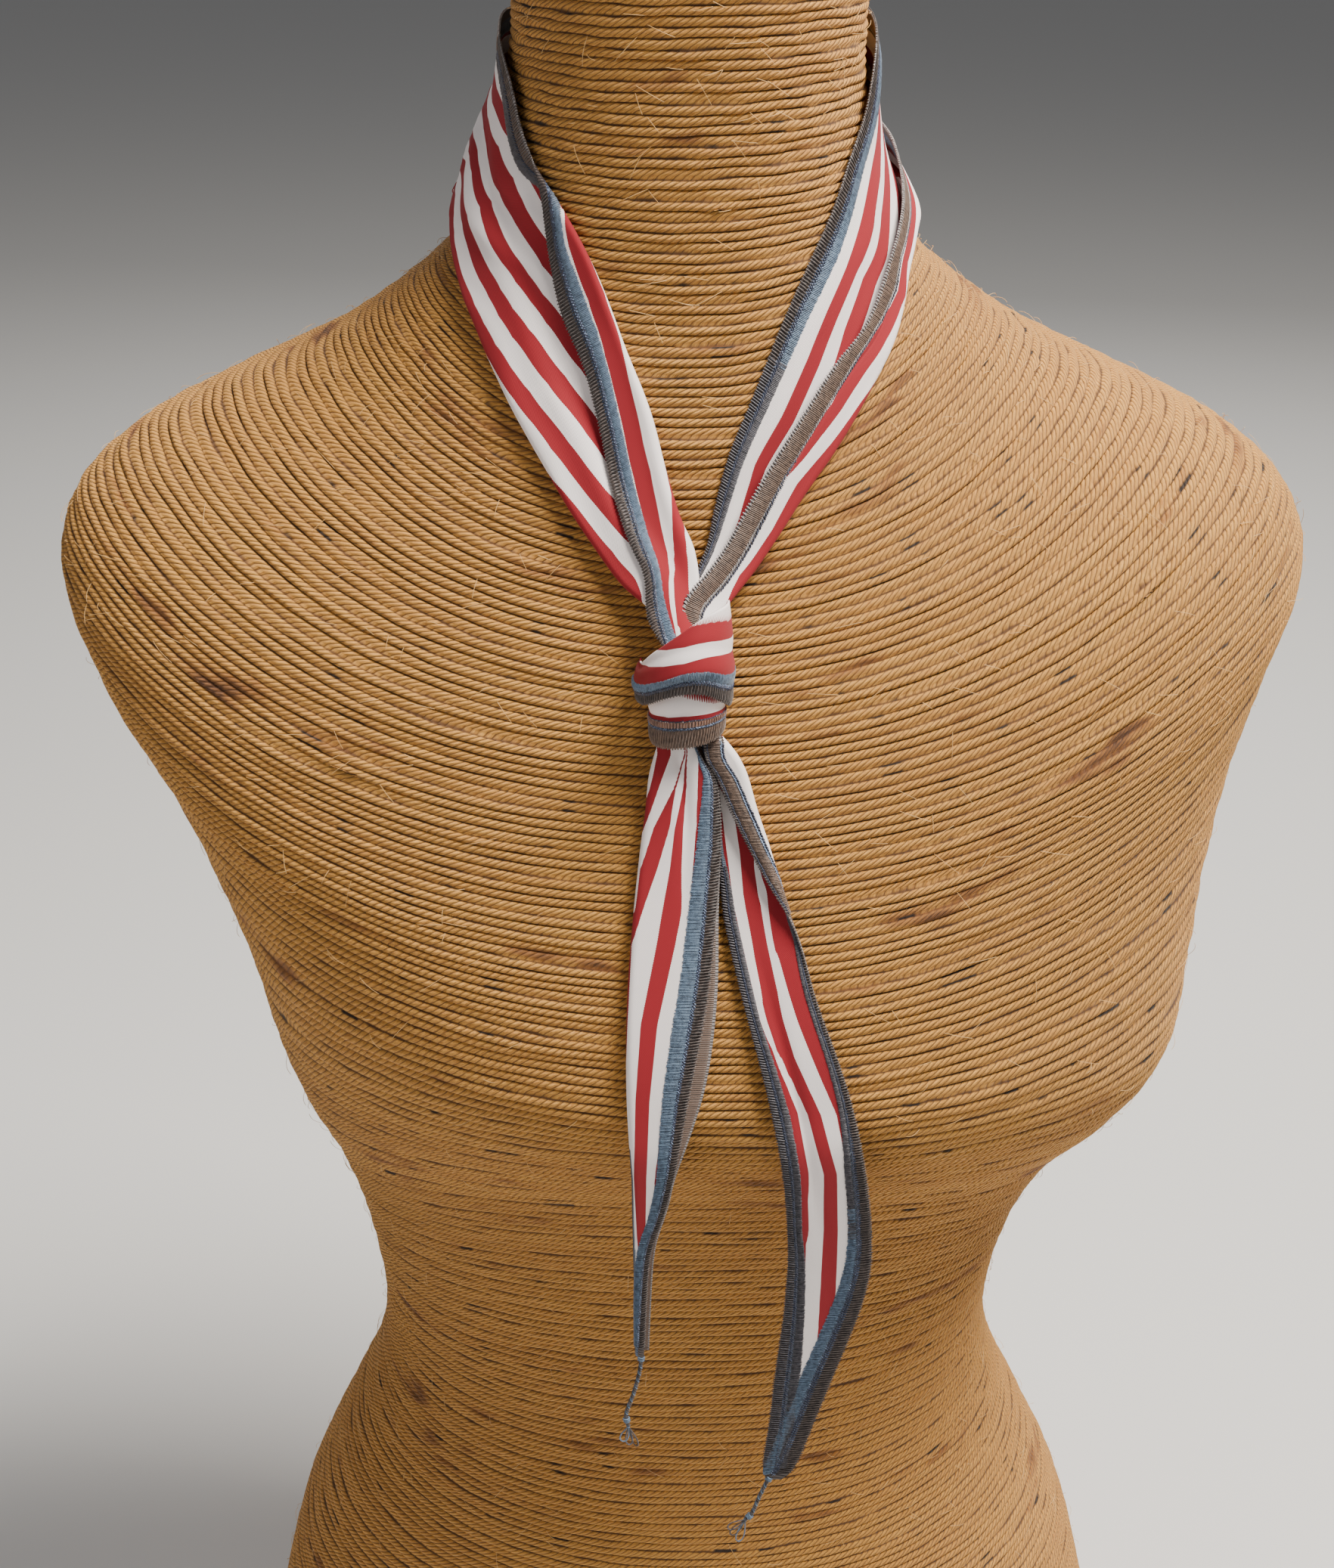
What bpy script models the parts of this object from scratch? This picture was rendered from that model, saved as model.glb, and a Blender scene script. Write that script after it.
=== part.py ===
"""Neck scarf tied in a double-turn knot on a twine-wound dress form.

The scarf is one long pointed strip of striped cotton with a wide overlocked edge.
It lies folded round the neck of a limbless form, and its two ends hang in front.
Metres, +Z up, the form's front faces -Y and its flat base stands on z = 0.
Tables are in millimetres and degrees.
"""

import math

import bmesh
import bpy
from mathutils import Vector
from mathutils.bvhtree import BVHTree

MM = 0.001

# The dress form: one row for each ring of its surface, from the neck down, in millimetres.
# Each ring is a closed loop through a front, a side and a back point, like a turn of its twine.
FORM_COLUMNS = ("front_z", "front_y", "side_z", "side_y", "side_x", "back_z", "back_y", "shift_x")
FORM_RINGS = (
    (680, -52, 680, 0, 50.5, 680, 50, 2),
    (655, -51, 655, 0, 50.0, 656, 50, 2),
    (625, -51, 627, 0, 50.5, 630, 52, 1),
    (597, -53, 601, 2, 55.0, 608, 57, 0),
    (566, -57, 581, 6, 65.0, 592, 66, 0),
    (535, -65, 565, 8, 82.0, 574, 76, 0),
    (506, -75, 549, 8, 106, 556, 84, 0),
    (481, -85, 536, 6, 136, 537, 91, 0),
    (458, -94, 522, 4, 165, 516, 96, 0),
    (438, -101, 506, 2, 184, 496, 99, 0),
    (418, -108, 486, 0, 190, 475, 100, 0),
    (400, -115, 462, -3, 182, 452, 99, 0),
    (384, -121, 433, -8, 169, 425, 97, 4),
    (368, -126, 401, -16, 158, 398, 94, 8),
    (352, -129, 368, -24, 150, 370, 91, 12),
    (336, -124, 338, -28, 145, 342, 88, 14),
    (320, -112, 311, -24, 136, 313, 85, 11),
    (300, -99, 284, -14, 123, 286, 82, 6),
    (258, -88, 250, -6, 113, 253, 79, 3),
    (203, -84, 207, 0, 108, 208, 75, 2),
    (160, -87, 172, 2, 114, 173, 79, 2),
    (124, -92, 138, 4, 129, 138, 89, 2),
    (88, -97, 98, 6, 146, 98, 101, 2),
    (46, -100, 50, 8, 158, 50, 111, 2),
    (14, -100, 14, 8, 161, 14, 113, 2),
    (0, -97, 0, 8, 158, 0, 110, 2),
)
FORM_ROUNDNESS = 2.25
FORM_SECTIONS = 42
FORM_SIDES = 44
LAYING_SECTIONS = 160
LAYING_SIDES = 200

# Cloth: the wall is drawn at 1 mm, and it lies just clear of the form and of its own layers.
CLOTH_WALL = 1.0
CLOTH_REST = 0.95
SEAM_ROWS = 0.02

# A folded section has this many points in its layer below, its outer fold, its layer above, its
# inner fold and what turns back. A fold starts this far before the cloth's edge at the least, and
# the layer above climbs onto the edge of the layer below over a short rise.
SECTION_POINTS = (3, 4, 4, 3, 3)
OUTER_FOLD_ROOM = 6.0
INNER_FOLD_ROOM = 5.0
INNER_FOLD_SHARE = 0.6
RISE_LENGTH = 8.0
RISE_AHEAD = 5.5
FAR_OUT = 400.0
ALONG_ROWS = 0.2
WALK_STEPS = 8

# The stretch round the neck, from the knot up over the wearer's right, round the nape and down
# the left. angle turns from the front over the wearer's right side; height and width place the
# strap's middle on the form; under is the share of the width that the layer below covers; upper
# is the length of the layer above, and what is longer than the strap is wide turns back over it;
# stand_in and stand_out lift its neck side and its outer side off the form.
NECK_COLUMNS = ("angle", "height", "width", "under", "upper", "stand_in", "stand_out")
NECK_ROWS = (
    (2.4, 485.5, 10.0, 0.60, 18, 8.0, 8.5),
    (3.4, 494, 15.0, 0.50, 26, 4.8, 4.8),
    (5.6, 502, 19.5, 0.45, 32, 2.3, 2.3),
    (8.8, 510, 23.5, 0.42, 38, 0.8, 0.9),
    (14.4, 523, 28.5, 0.38, 44, 0.2, 0.3),
    (20.6, 537, 33.0, 0.36, 49, 0.0, 0.0),
    (28.8, 551, 34.5, 0.36, 49, 0.0, 0.0),
    (36.8, 564, 34.5, 0.37, 47, 0.0, 0.0),
    (44.5, 575, 34.5, 0.38, 45, 0.2, 0.4),
    (53.0, 585, 36.5, 0.39, 43, 0.6, 1.2),
    (61.5, 594, 41.0, 0.40, 43, 1.0, 2.4),
    (70.0, 602, 46.0, 0.42, 47, 1.5, 3.4),
    (80.0, 609, 53.0, 0.44, 54, 2.0, 4.0),
    (95.0, 613, 55.0, 0.48, 56, 2.0, 4.0),
    (112.0, 616, 54.0, 0.54, 54, 2.0, 3.5),
    (135.0, 618, 54.0, 0.62, 50, 1.8, 3.0),
    (158.0, 620, 54.0, 0.72, 44, 1.6, 2.5),
    (180.0, 620, 54.0, 0.82, 38, 1.6, 2.5),
    (203.0, 620, 54.0, 0.90, 32, 1.6, 2.5),
    (227.0, 618, 54.0, 0.95, 26, 1.8, 3.0),
    (248.0, 616, 54.0, 0.97, 21, 2.0, 3.5),
    (266.0, 612, 52.0, 0.97, 18, 2.0, 4.0),
    (281.0, 602, 45.0, 0.97, 15, 1.5, 3.6),
    (293.0, 594, 39.0, 0.97, 13, 1.0, 2.6),
    (304.5, 583, 34.0, 0.97, 12, 0.5, 1.4),
    (311.5, 575, 33.5, 0.97, 13, 0.2, 0.6),
    (319.5, 564, 33.0, 0.97, 14, 0.0, 0.2),
    (327.0, 553, 31.0, 0.97, 16, 0.0, 0.0),
    (334.6, 539, 28.0, 0.96, 16, 0.0, 0.0),
    (340.6, 527, 24.5, 0.96, 15, 0.1, 0.1),
    (345.8, 514.5, 20.0, 0.95, 14, 0.4, 0.4),
    (349.4, 506, 16.0, 0.94, 13, 1.2, 1.2),
    (352.2, 499, 12.5, 0.93, 11, 2.6, 2.6),
    (354.2, 492, 9.0, 0.90, 9, 5.0, 5.0),
    (355.0, 485.5, 8.0, 0.90, 8, 8.0, 8.0),
)
NECK_STEPS = 2
NECK_SEAMS = (13, 20)
NECK_BEND = 1.2
NECK_TURN = 1.0

# The ends below the knot: height, the middle of the width across X, and the folded width.
# under and upper are the lengths of the back and front layers; valley is how deep the front
# layer dips, at valley_at across the width; stand lifts the end off what it lies on.
END_COLUMNS = ("height", "middle", "width", "under", "upper", "valley", "valley_at", "stand")
SHORT_END_ROWS = (
    (462.5, -1.5, 9.0, 7.4, 11, 0.0, 0.50, 3.6),
    (456.0, -1.9, 12.6, 11.0, 18, 1.0, 0.50, 2.6),
    (450.0, -0.9, 17.0, 15.0, 23, 1.4, 0.50, 1.5),
    (441.0, -1.0, 18.8, 17.0, 24, 1.0, 0.48, 0.8),
    (432.0, -1.4, 20.5, 18.5, 24, 0.5, 0.45, 0.4),
    (413.0, -2.8, 22.0, 20.5, 24, 0.2, 0.40, 0.2),
    (391.0, -4.0, 22.5, 23.0, 23, 0.0, 0.40, 0.1),
    (366.0, -6.0, 19.0, 20.0, 20, 0.0, 0.40, 0.1),
    (341.0, -8.3, 12.5, 11.5, 13, 0.0, 0.45, 0.1),
    (328.0, -9.6, 9.6, 8.5, 7, 0.0, 0.50, 0.1),
    (314.0, -11.4, 5.6, 4.6, 0, 0.0, 0.50, 0.1),
    (296.0, -11.9, 4.2, 3.2, 0, 0.0, 0.50, 0.1),
    (277.0, -12.2, 3.4, 2.4, 0, 0.0, 0.50, 0.1),
)
LONG_END_ROWS = (
    (462.5, 6.2, 4.4, 3.8, 7, 0.0, 0.50, 3.6),
    (458.5, 7.3, 5.2, 4.6, 8, 0.0, 0.50, 3.0),
    (455.0, 9.8, 7.0, 6.4, 10, 0.0, 0.50, 2.4),
    (450.0, 14.0, 9.4, 8.8, 11, 0.0, 0.50, 1.5),
    (441.0, 16.2, 12.0, 11.4, 9, 0.0, 0.45, 0.8),
    (432.0, 17.8, 14.5, 13.8, 6, 0.0, 0.40, 0.4),
    (422.0, 19.4, 16.5, 15.8, 3.6, 0.0, 0.35, 0.2),
    (411.0, 21.6, 18.7, 18.0, 1, 0.0, 0.35, 0.2),
    (391.0, 27.8, 21.0, 20.4, 0, 0.6, 0.32, 0.3),
    (366.0, 36.0, 23.0, 22.4, 0, 1.1, 0.30, 0.4),
    (341.0, 39.9, 23.2, 22.6, 0, 0.8, 0.30, 0.4),
    (314.0, 42.6, 23.6, 23.0, 0, 0.3, 0.40, 0.3),
    (287.0, 41.4, 21.8, 21.2, 0, 0.1, 0.50, 0.2),
    (268.0, 38.2, 19.0, 18.4, 0, 0.0, 0.50, 0.2),
    (250.0, 34.6, 15.2, 14.6, 0, 0.0, 0.50, 0.2),
    (236.0, 31.6, 11.4, 10.8, 0, 0.0, 0.50, 0.2),
    (229.0, 30.2, 7.0, 6.4, 0, 0.0, 0.50, 0.2),
)
END_STEPS = 2
VALLEY_REACH = 2.6
SINGLE_LAYER = 3.0
FRONT_LAYER = 1.9
CHEST_HEIGHT = 352.0
CHEST_SINK = 0.9
SHORT_END_BEND = 1.6
LONG_END_BEND = 1.5

# The two turns of the knot: angle goes round it from its front, top and bottom are the heights
# of the band's edges, and top_reach is how far out the top edge is, as a share of the middle.
KNOT_COLUMNS = ("angle", "top", "bottom", "top_reach")
UPPER_TURN_ROWS = (
    (-99, 481.5, 471.5, 0.90),
    (-75, 482.5, 471.5, 0.88),
    (-50, 487.0, 472.0, 0.80),
    (-25, 491.0, 473.5, 0.74),
    (0, 494.5, 475.0, 0.72),
    (25, 497.5, 475.0, 0.74),
    (50, 499.0, 472.5, 0.80),
    (75, 499.0, 470.5, 0.86),
    (96, 498.5, 470.5, 0.90),
)
LOWER_TURN_ROWS = (
    (-99, 476.5, 461.0, 0.86),
    (-75, 477.0, 460.0, 0.85),
    (-40, 478.0, 459.5, 0.84),
    (0, 478.5, 460.0, 0.84),
    (40, 478.5, 460.5, 0.84),
    (75, 478.0, 461.5, 0.85),
    (99, 477.0, 462.0, 0.86),
)
UPPER_TURN_CENTRE = (0.0, -93.6)
UPPER_TURN_REACH = (13.5, 16.6)
UPPER_TURN_BOTTOM_REACH = 0.97
LOWER_TURN_CENTRE = (0.9, -96.8)
LOWER_TURN_REACH = (10.4, 9.8)
LOWER_TURN_BOTTOM_REACH = 0.97
KNOT_WALL = 1.2
KNOT_TOP_SHARE = 0.6
KNOT_BOTTOM_SHARE = 0.5
KNOT_ACROSS = 9
KNOT_STEPS = 3
KNOT_CORE_CENTRE = (0.8, -98.4, 472.5)
KNOT_CORE_HALF = (7.2, 5.2, 9.0)

# The serger's thread chains left hanging from the two points, as routes in x and z.
THREAD_WIDTH = 1.6
SHORT_THREAD_ROUTE = ((-12.2, 276.4), (-12.6, 271), (-14.5, 262), (-16.8, 254), (-16.2, 246))
LONG_THREAD_ROUTE = ((27.4, 228.6), (25.4, 224), (23.6, 219), (21.8, 213.5), (18.6, 210), (16.2, 205))
THREAD_STEPS = 4
HANG_LINE = -131.6


def smooth_column(values, position):
    """A value read from a column at a fractional row, on a Catmull-Rom curve through its rows."""
    last = len(values) - 1
    row = min(int(math.floor(position)), last - 1)
    t = position - row
    p1, p2 = values[row], values[row + 1]
    p0 = values[row - 1] if row else 2 * p1 - p2
    p3 = values[row + 2] if row + 2 <= last else 2 * p2 - p1
    return 0.5 * (2 * p1 + (p2 - p0) * t + (2 * p0 - 5 * p1 + 4 * p2 - p3) * t**2
                  + (3 * p1 - p0 - 3 * p2 + p3) * t**3)


def read_row(columns, rows, position):
    """All the columns of a table at a fractional row, by name."""
    return {name: smooth_column([row[i] for row in rows], position)
            for i, name in enumerate(columns)}


def smooth_step(value):
    """0 below 0, 1 above 1 and an even ease between them."""
    value = min(max(value, 0.0), 1.0)
    return value * value * (3 - 2 * value)


def form_ring(position, sides):
    """One closed ring of the form's surface, in millimetres, starting from the front."""
    ring = read_row(FORM_COLUMNS, FORM_RINGS, position)
    points = []
    for side in range(sides):
        turn = 2 * math.pi * side / sides
        sine, cosine = math.sin(turn), math.cos(turn)
        across = math.copysign(abs(sine) ** (2 / FORM_ROUNDNESS), sine)
        deep = abs(cosine) ** (2 / FORM_ROUNDNESS)
        end = "front" if cosine > 0 else "back"
        y = ring["side_y"] + (ring[end + "_y"] - ring["side_y"]) * deep
        z = ring["side_z"] + (ring[end + "_z"] - ring["side_z"]) * cosine**2
        points.append(Vector((ring["shift_x"] + ring["side_x"] * across, y, z)))
    return points


def form_rings(sections, sides):
    """The form's rings from its neck down to its base."""
    last = len(FORM_RINGS) - 1
    return [form_ring(last * step / (sections - 1), sides) for step in range(sections)]


def laying_tree():
    """The form's surface drawn finely, as a tree that finds the point below a piece of cloth."""
    rings = form_rings(LAYING_SECTIONS, LAYING_SIDES)
    points = [point for ring in rings for point in ring]
    quads = []
    for row in range(LAYING_SECTIONS - 1):
        for side in range(LAYING_SIDES):
            near = row * LAYING_SIDES
            after = (side + 1) % LAYING_SIDES
            quads.append((near + side, near + LAYING_SIDES + side, near + LAYING_SIDES + after,
                          near + after))
    return BVHTree.FromPolygons(points, quads)


def spaced(start, end, count):
    """Evenly spaced values from start up to end, without end."""
    return [start + (end - start) * step / count for step in range(count)]


def layer_samples(under, upper, flat, bend, turn):
    """Lengths along the folded cloth where its section has a point, closer round the folds."""
    total = under + upper
    first_fold = min(under, total - min(OUTER_FOLD_ROOM, total / 2))
    first_end = first_fold + min(math.pi * bend, (total - first_fold) / 2)
    second_fold = min(first_end + flat, total - min(INNER_FOLD_ROOM, (total - first_end) / 2))
    second_end = second_fold + min(math.pi * turn, INNER_FOLD_SHARE * (total - second_fold))
    limits = (0, first_fold, first_end, second_fold, second_end, total)
    samples = []
    for start, end, count in zip(limits, limits[1:], SECTION_POINTS):
        samples += spaced(start, end, count)
    return samples + [total]


def folded_section(width, under, upper, bend, turn):
    """A strap's cross-section, as points across its width and above its bed.

    The layer below runs out to the outer side, folds up over itself with the radius bend, and
    the layer above runs back; what is longer than the strap folds over again with the radius turn.
    """
    flat = width - bend - turn
    under_end = width - bend - under
    rise = 2 * bend

    def bed(across):
        return rise * smooth_step((across - under_end + RISE_AHEAD) / RISE_LENGTH)

    points = []
    for length in layer_samples(under, upper, flat, bend, turn):
        if length <= under:
            points.append((under_end + length, 0.0))
            continue
        length -= under
        if length <= math.pi * bend:
            swing = length / bend
            points.append((width - bend + bend * math.sin(swing), bend * (1 - math.cos(swing))))
            continue
        length -= math.pi * bend
        if length <= flat:
            across = width - bend - length
            points.append((across, bed(across)))
            continue
        length -= flat
        if length <= math.pi * turn:
            swing = length / turn
            points.append((turn - turn * math.sin(swing), bed(turn) + turn * (1 - math.cos(swing))))
            continue
        across = turn + length - math.pi * turn
        points.append((across, bed(across) + 2 * turn))
    return points


def walk_on_form(tree, start, heading, distance):
    """The point and normal reached by walking straight over the form's surface."""
    here, normal, _, _ = tree.find_nearest(start)
    for _ in range(WALK_STEPS):
        after, normal, _, _ = tree.find_nearest(here + heading * distance / WALK_STEPS)
        if distance:
            heading = (after - here).normalized() * math.copysign(1, distance)
        here = after
    return here, normal


def neck_middle(tree, row):
    """The strap's middle on the form's surface, and the way out of it."""
    turn = math.radians(row["angle"])
    out = Vector((-math.sin(turn), -math.cos(turn), 0))
    point, normal, _, _ = tree.ray_cast(out * FAR_OUT + Vector((0, 0, row["height"])), -out)
    return point, normal


def neck_station(tree, position):
    """The strap's section at a fractional row of the neck table, laid on the form."""
    row = read_row(NECK_COLUMNS, NECK_ROWS, position)
    last = len(NECK_ROWS) - 1
    before = read_row(NECK_COLUMNS, NECK_ROWS, max(position - ALONG_ROWS, 0))
    after = read_row(NECK_COLUMNS, NECK_ROWS, min(position + ALONG_ROWS, last))
    middle, normal = neck_middle(tree, row)
    along = neck_middle(tree, after)[0] - neck_middle(tree, before)[0]
    outer = normal.cross(along).normalized()
    width = row["width"]
    section = folded_section(width, row["under"] * (width - NECK_BEND), row["upper"],
                             NECK_BEND, NECK_TURN)
    points = []
    for across, height in section:
        ground, out = walk_on_form(tree, middle, outer, across - width / 2)
        share = min(max(across / width, 0), 1)
        stand = row["stand_in"] + (row["stand_out"] - row["stand_in"]) * share
        points.append(ground + out * (CLOTH_REST + stand + height))
    return points


def end_station(tree, rows, position, bend, side):
    """An end's section at a fractional row: side is 1 with the fold on +X and -1 on -X."""
    row = read_row(END_COLUMNS, rows, position)
    width = row["width"]
    ground = HANG_LINE
    if row["height"] > CHEST_HEIGHT:
        spot = Vector((row["middle"], -FAR_OUT, row["height"]))
        ground = max(tree.ray_cast(spot, Vector((0, 1, 0)))[0].y - CHEST_SINK, HANG_LINE)
    points = []
    single = row["upper"] < SINGLE_LAYER
    upper = max(row["upper"], 0)
    for across, height in folded_section(width, row["under"], upper, bend, NECK_TURN):
        dip = (across / width - row["valley_at"]) * width / VALLEY_REACH
        depth = row["valley"] * math.exp(-dip * dip) if single or height > FRONT_LAYER * bend else 0
        rest = CLOTH_REST + row["stand"] + height - depth + (row["valley"] if single else 0)
        points.append(Vector((row["middle"] + side * (across - width / 2), ground - rest,
                              row["height"])))
    return points


def knot_station(rows, position, centre, reach, bottom_reach):
    """Points down a turn of the knot at a fractional row, from its top edge to its bottom edge."""
    row = read_row(KNOT_COLUMNS, rows, position)
    turn = math.radians(row["angle"])
    points = []
    for step in range(KNOT_ACROSS):
        share = step / (KNOT_ACROSS - 1)
        bulge = math.sin(math.pi / 2 * min(share / KNOT_TOP_SHARE, 1))
        swell = row["top_reach"] + (1 - row["top_reach"]) * bulge
        swell -= (1 - bottom_reach) * smooth_step((share - KNOT_BOTTOM_SHARE) / KNOT_BOTTOM_SHARE)
        points.append(Vector((centre[0] + reach[0] * swell * math.sin(turn),
                              centre[1] - reach[1] * swell * math.cos(turn),
                              row["top"] + (row["bottom"] - row["top"]) * share)))
    return points


def plain_material(name, colour, roughness):
    """A material of one colour."""
    material = bpy.data.materials.new(name)
    material.use_nodes = True
    shader = material.node_tree.nodes["Principled BSDF"]
    shader.inputs["Base Color"].default_value = (*colour, 1)
    shader.inputs["Roughness"].default_value = roughness
    shader.inputs["Metallic"].default_value = 0
    return material


def add_object(name, bm, colour, roughness):
    """A named object made of a bmesh, in metres and shaded smooth, with its own material."""
    bmesh.ops.scale(bm, vec=(MM, MM, MM), verts=bm.verts)
    mesh = bpy.data.meshes.new(name)
    bm.to_mesh(mesh)
    bm.free()
    mesh.shade_smooth()
    mesh.materials.append(plain_material(name, colour, roughness))
    piece = bpy.data.objects.new(name, mesh)
    bpy.context.scene.collection.objects.link(piece)
    return piece


def sheet_mesh(stations):
    """An open sheet through rows of points, each row across the cloth."""
    bm = bmesh.new()
    rows = [[bm.verts.new(point) for point in station] for station in stations]
    for near, far in zip(rows, rows[1:]):
        for i in range(len(near) - 1):
            bm.faces.new((near[i], near[i + 1], far[i + 1], far[i]))
    return bm


def add_cloth(name, stations, wall, colour):
    """A cloth piece: an open sheet given a wall of even thickness about its middle."""
    piece = add_object(name, sheet_mesh(stations), colour, 0.9)
    solidify = piece.modifiers.new("wall", "SOLIDIFY")
    solidify.thickness = wall * MM
    solidify.offset = 0
    solidify.use_even_offset = True
    return piece


def add_dress_form():
    """The form: a closed body through its rings, with a flat neck top and a flat base."""
    bm = bmesh.new()
    rings = [[bm.verts.new(point) for point in ring] for ring in form_rings(FORM_SECTIONS, FORM_SIDES)]
    for near, far in zip(rings, rings[1:]):
        for i in range(FORM_SIDES):
            after = (i + 1) % FORM_SIDES
            bm.faces.new((near[i], near[after], far[after], far[i]))
    bm.faces.new(rings[0])
    bm.faces.new(rings[-1])
    bmesh.ops.recalc_face_normals(bm, faces=bm.faces)
    return add_object("dress_form", bm, (0.42, 0.25, 0.09), 0.85)


def add_neck_stretches(tree):
    """The three stretches round the neck, which part at seams over the two shoulders."""
    last = len(NECK_ROWS) - 1
    right_seam, left_seam = NECK_SEAMS
    spans = (("neck_stretch_right", 0, right_seam - SEAM_ROWS, (0.55, 0.07, 0.10)),
             ("nape_stretch", right_seam + SEAM_ROWS, left_seam - SEAM_ROWS, (0.80, 0.74, 0.68)),
             ("neck_stretch_left", left_seam + SEAM_ROWS, last, (0.55, 0.07, 0.10)))
    for name, start, end, colour in spans:
        count = round((end - start) * NECK_STEPS)
        stations = [neck_station(tree, start + (end - start) * step / count)
                    for step in range(count + 1)]
        add_cloth(name, stations, CLOTH_WALL, colour)


def add_end(tree, name, rows, bend, side, colour):
    """One of the two hanging ends, from inside the knot down to its point."""
    count = (len(rows) - 1) * END_STEPS
    stations = [end_station(tree, rows, step / END_STEPS, bend, side) for step in range(count + 1)]
    add_cloth(name, stations, CLOTH_WALL, colour)


def add_knot_turn(name, rows, centre, reach, bottom_reach, colour):
    """A turn of the knot: a band of cloth bent round its front and both sides."""
    count = (len(rows) - 1) * KNOT_STEPS
    stations = [knot_station(rows, step / KNOT_STEPS, centre, reach, bottom_reach)
                for step in range(count + 1)]
    add_cloth(name, stations, KNOT_WALL, colour)


def add_knot_core():
    """The layers hidden inside the knot, as one rounded solid."""
    bm = bmesh.new()
    bmesh.ops.create_uvsphere(bm, u_segments=16, v_segments=10, radius=1)
    bmesh.ops.scale(bm, vec=KNOT_CORE_HALF, verts=bm.verts)
    bmesh.ops.translate(bm, vec=KNOT_CORE_CENTRE, verts=bm.verts)
    return add_object("knot_core", bm, (0.55, 0.07, 0.10), 0.9)


def add_thread(name, route, y):
    """A serger's thread chain hanging from a point of the scarf, as a slim tube."""
    count = (len(route) - 1) * THREAD_STEPS
    curve = bpy.data.curves.new(name, "CURVE")
    curve.dimensions = "3D"
    curve.bevel_depth = THREAD_WIDTH / 2 * MM
    curve.bevel_resolution = 1
    curve.use_fill_caps = True
    spline = curve.splines.new("POLY")
    spline.points.add(count)
    for step, point in enumerate(spline.points):
        x = smooth_column([spot[0] for spot in route], step / THREAD_STEPS)
        z = smooth_column([spot[1] for spot in route], step / THREAD_STEPS)
        point.co = (x * MM, y * MM, z * MM, 1)
    curve.materials.append(plain_material(name, (0.12, 0.10, 0.10), 0.8))
    piece = bpy.data.objects.new(name, curve)
    bpy.context.scene.collection.objects.link(piece)
    return piece


for old in list(bpy.data.objects):
    bpy.data.objects.remove(old, do_unlink=True)

form_tree = laying_tree()
add_dress_form()
add_neck_stretches(form_tree)
add_knot_turn("knot_upper_turn", UPPER_TURN_ROWS, UPPER_TURN_CENTRE, UPPER_TURN_REACH,
              UPPER_TURN_BOTTOM_REACH, (0.60, 0.08, 0.11))
add_knot_turn("knot_lower_turn", LOWER_TURN_ROWS, LOWER_TURN_CENTRE, LOWER_TURN_REACH,
              LOWER_TURN_BOTTOM_REACH, (0.80, 0.74, 0.68))
add_knot_core()
add_end(form_tree, "short_end", SHORT_END_ROWS, SHORT_END_BEND, -1, (0.80, 0.74, 0.68))
add_end(form_tree, "long_end", LONG_END_ROWS, LONG_END_BEND, 1, (0.60, 0.08, 0.11))
add_thread("short_end_thread", SHORT_THREAD_ROUTE, HANG_LINE - CLOTH_REST - SHORT_END_BEND)
add_thread("long_end_thread", LONG_THREAD_ROUTE, HANG_LINE - CLOTH_REST)
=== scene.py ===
import math

import bmesh
import bpy
import numpy as np
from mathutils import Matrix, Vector
from mathutils.bvhtree import BVHTree


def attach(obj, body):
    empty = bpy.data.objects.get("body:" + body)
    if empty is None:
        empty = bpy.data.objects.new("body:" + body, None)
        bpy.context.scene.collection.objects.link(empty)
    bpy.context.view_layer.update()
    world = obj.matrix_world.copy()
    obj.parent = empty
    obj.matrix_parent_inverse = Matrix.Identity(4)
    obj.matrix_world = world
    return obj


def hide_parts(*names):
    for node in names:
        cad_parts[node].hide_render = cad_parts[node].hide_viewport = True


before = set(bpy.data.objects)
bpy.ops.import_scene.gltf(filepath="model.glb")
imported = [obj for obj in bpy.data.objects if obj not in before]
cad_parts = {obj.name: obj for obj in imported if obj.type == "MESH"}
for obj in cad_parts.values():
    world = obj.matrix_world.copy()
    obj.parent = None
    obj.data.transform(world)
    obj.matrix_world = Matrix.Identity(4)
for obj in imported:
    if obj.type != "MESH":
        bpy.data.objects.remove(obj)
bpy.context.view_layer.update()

# The studio. A pale matt floor carries the form. A large soft box hangs at the upper right, a weaker
# one fills from the left, and a third lights the back. The camera looks down by 25 degrees from in
# front of the neck.
MM = 0.001
FLOOR_HALF = 8.0
FLOOR_COLOUR = (0.74, 0.73, 0.71, 1)
CAMERA_PLACE = (-0.0046, -0.642, 0.70)
CAMERA_PITCH = math.radians(65)
FOCAL_PIXELS = 2850
PHOTO_HEIGHT = 2074
SENSOR = 36.0
SKY_COLOUR = (0.86, 0.87, 0.90, 1)
SKY_STRENGTH = 0.17

floor_shape = bmesh.new()
bmesh.ops.create_grid(floor_shape, x_segments=1, y_segments=1, size=FLOOR_HALF)
floor_mesh = bpy.data.meshes.new("floor")
floor_shape.to_mesh(floor_mesh)
floor_shape.free()
floor_material = bpy.data.materials.new("pale floor")
floor_material.use_nodes = True
floor_shader = floor_material.node_tree.nodes["Principled BSDF"]
floor_shader.inputs["Base Color"].default_value = FLOOR_COLOUR
floor_shader.inputs["Roughness"].default_value = 0.9
floor_mesh.materials.append(floor_material)
floor = bpy.data.objects.new("floor", floor_mesh)
bpy.context.scene.collection.objects.link(floor)

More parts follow.
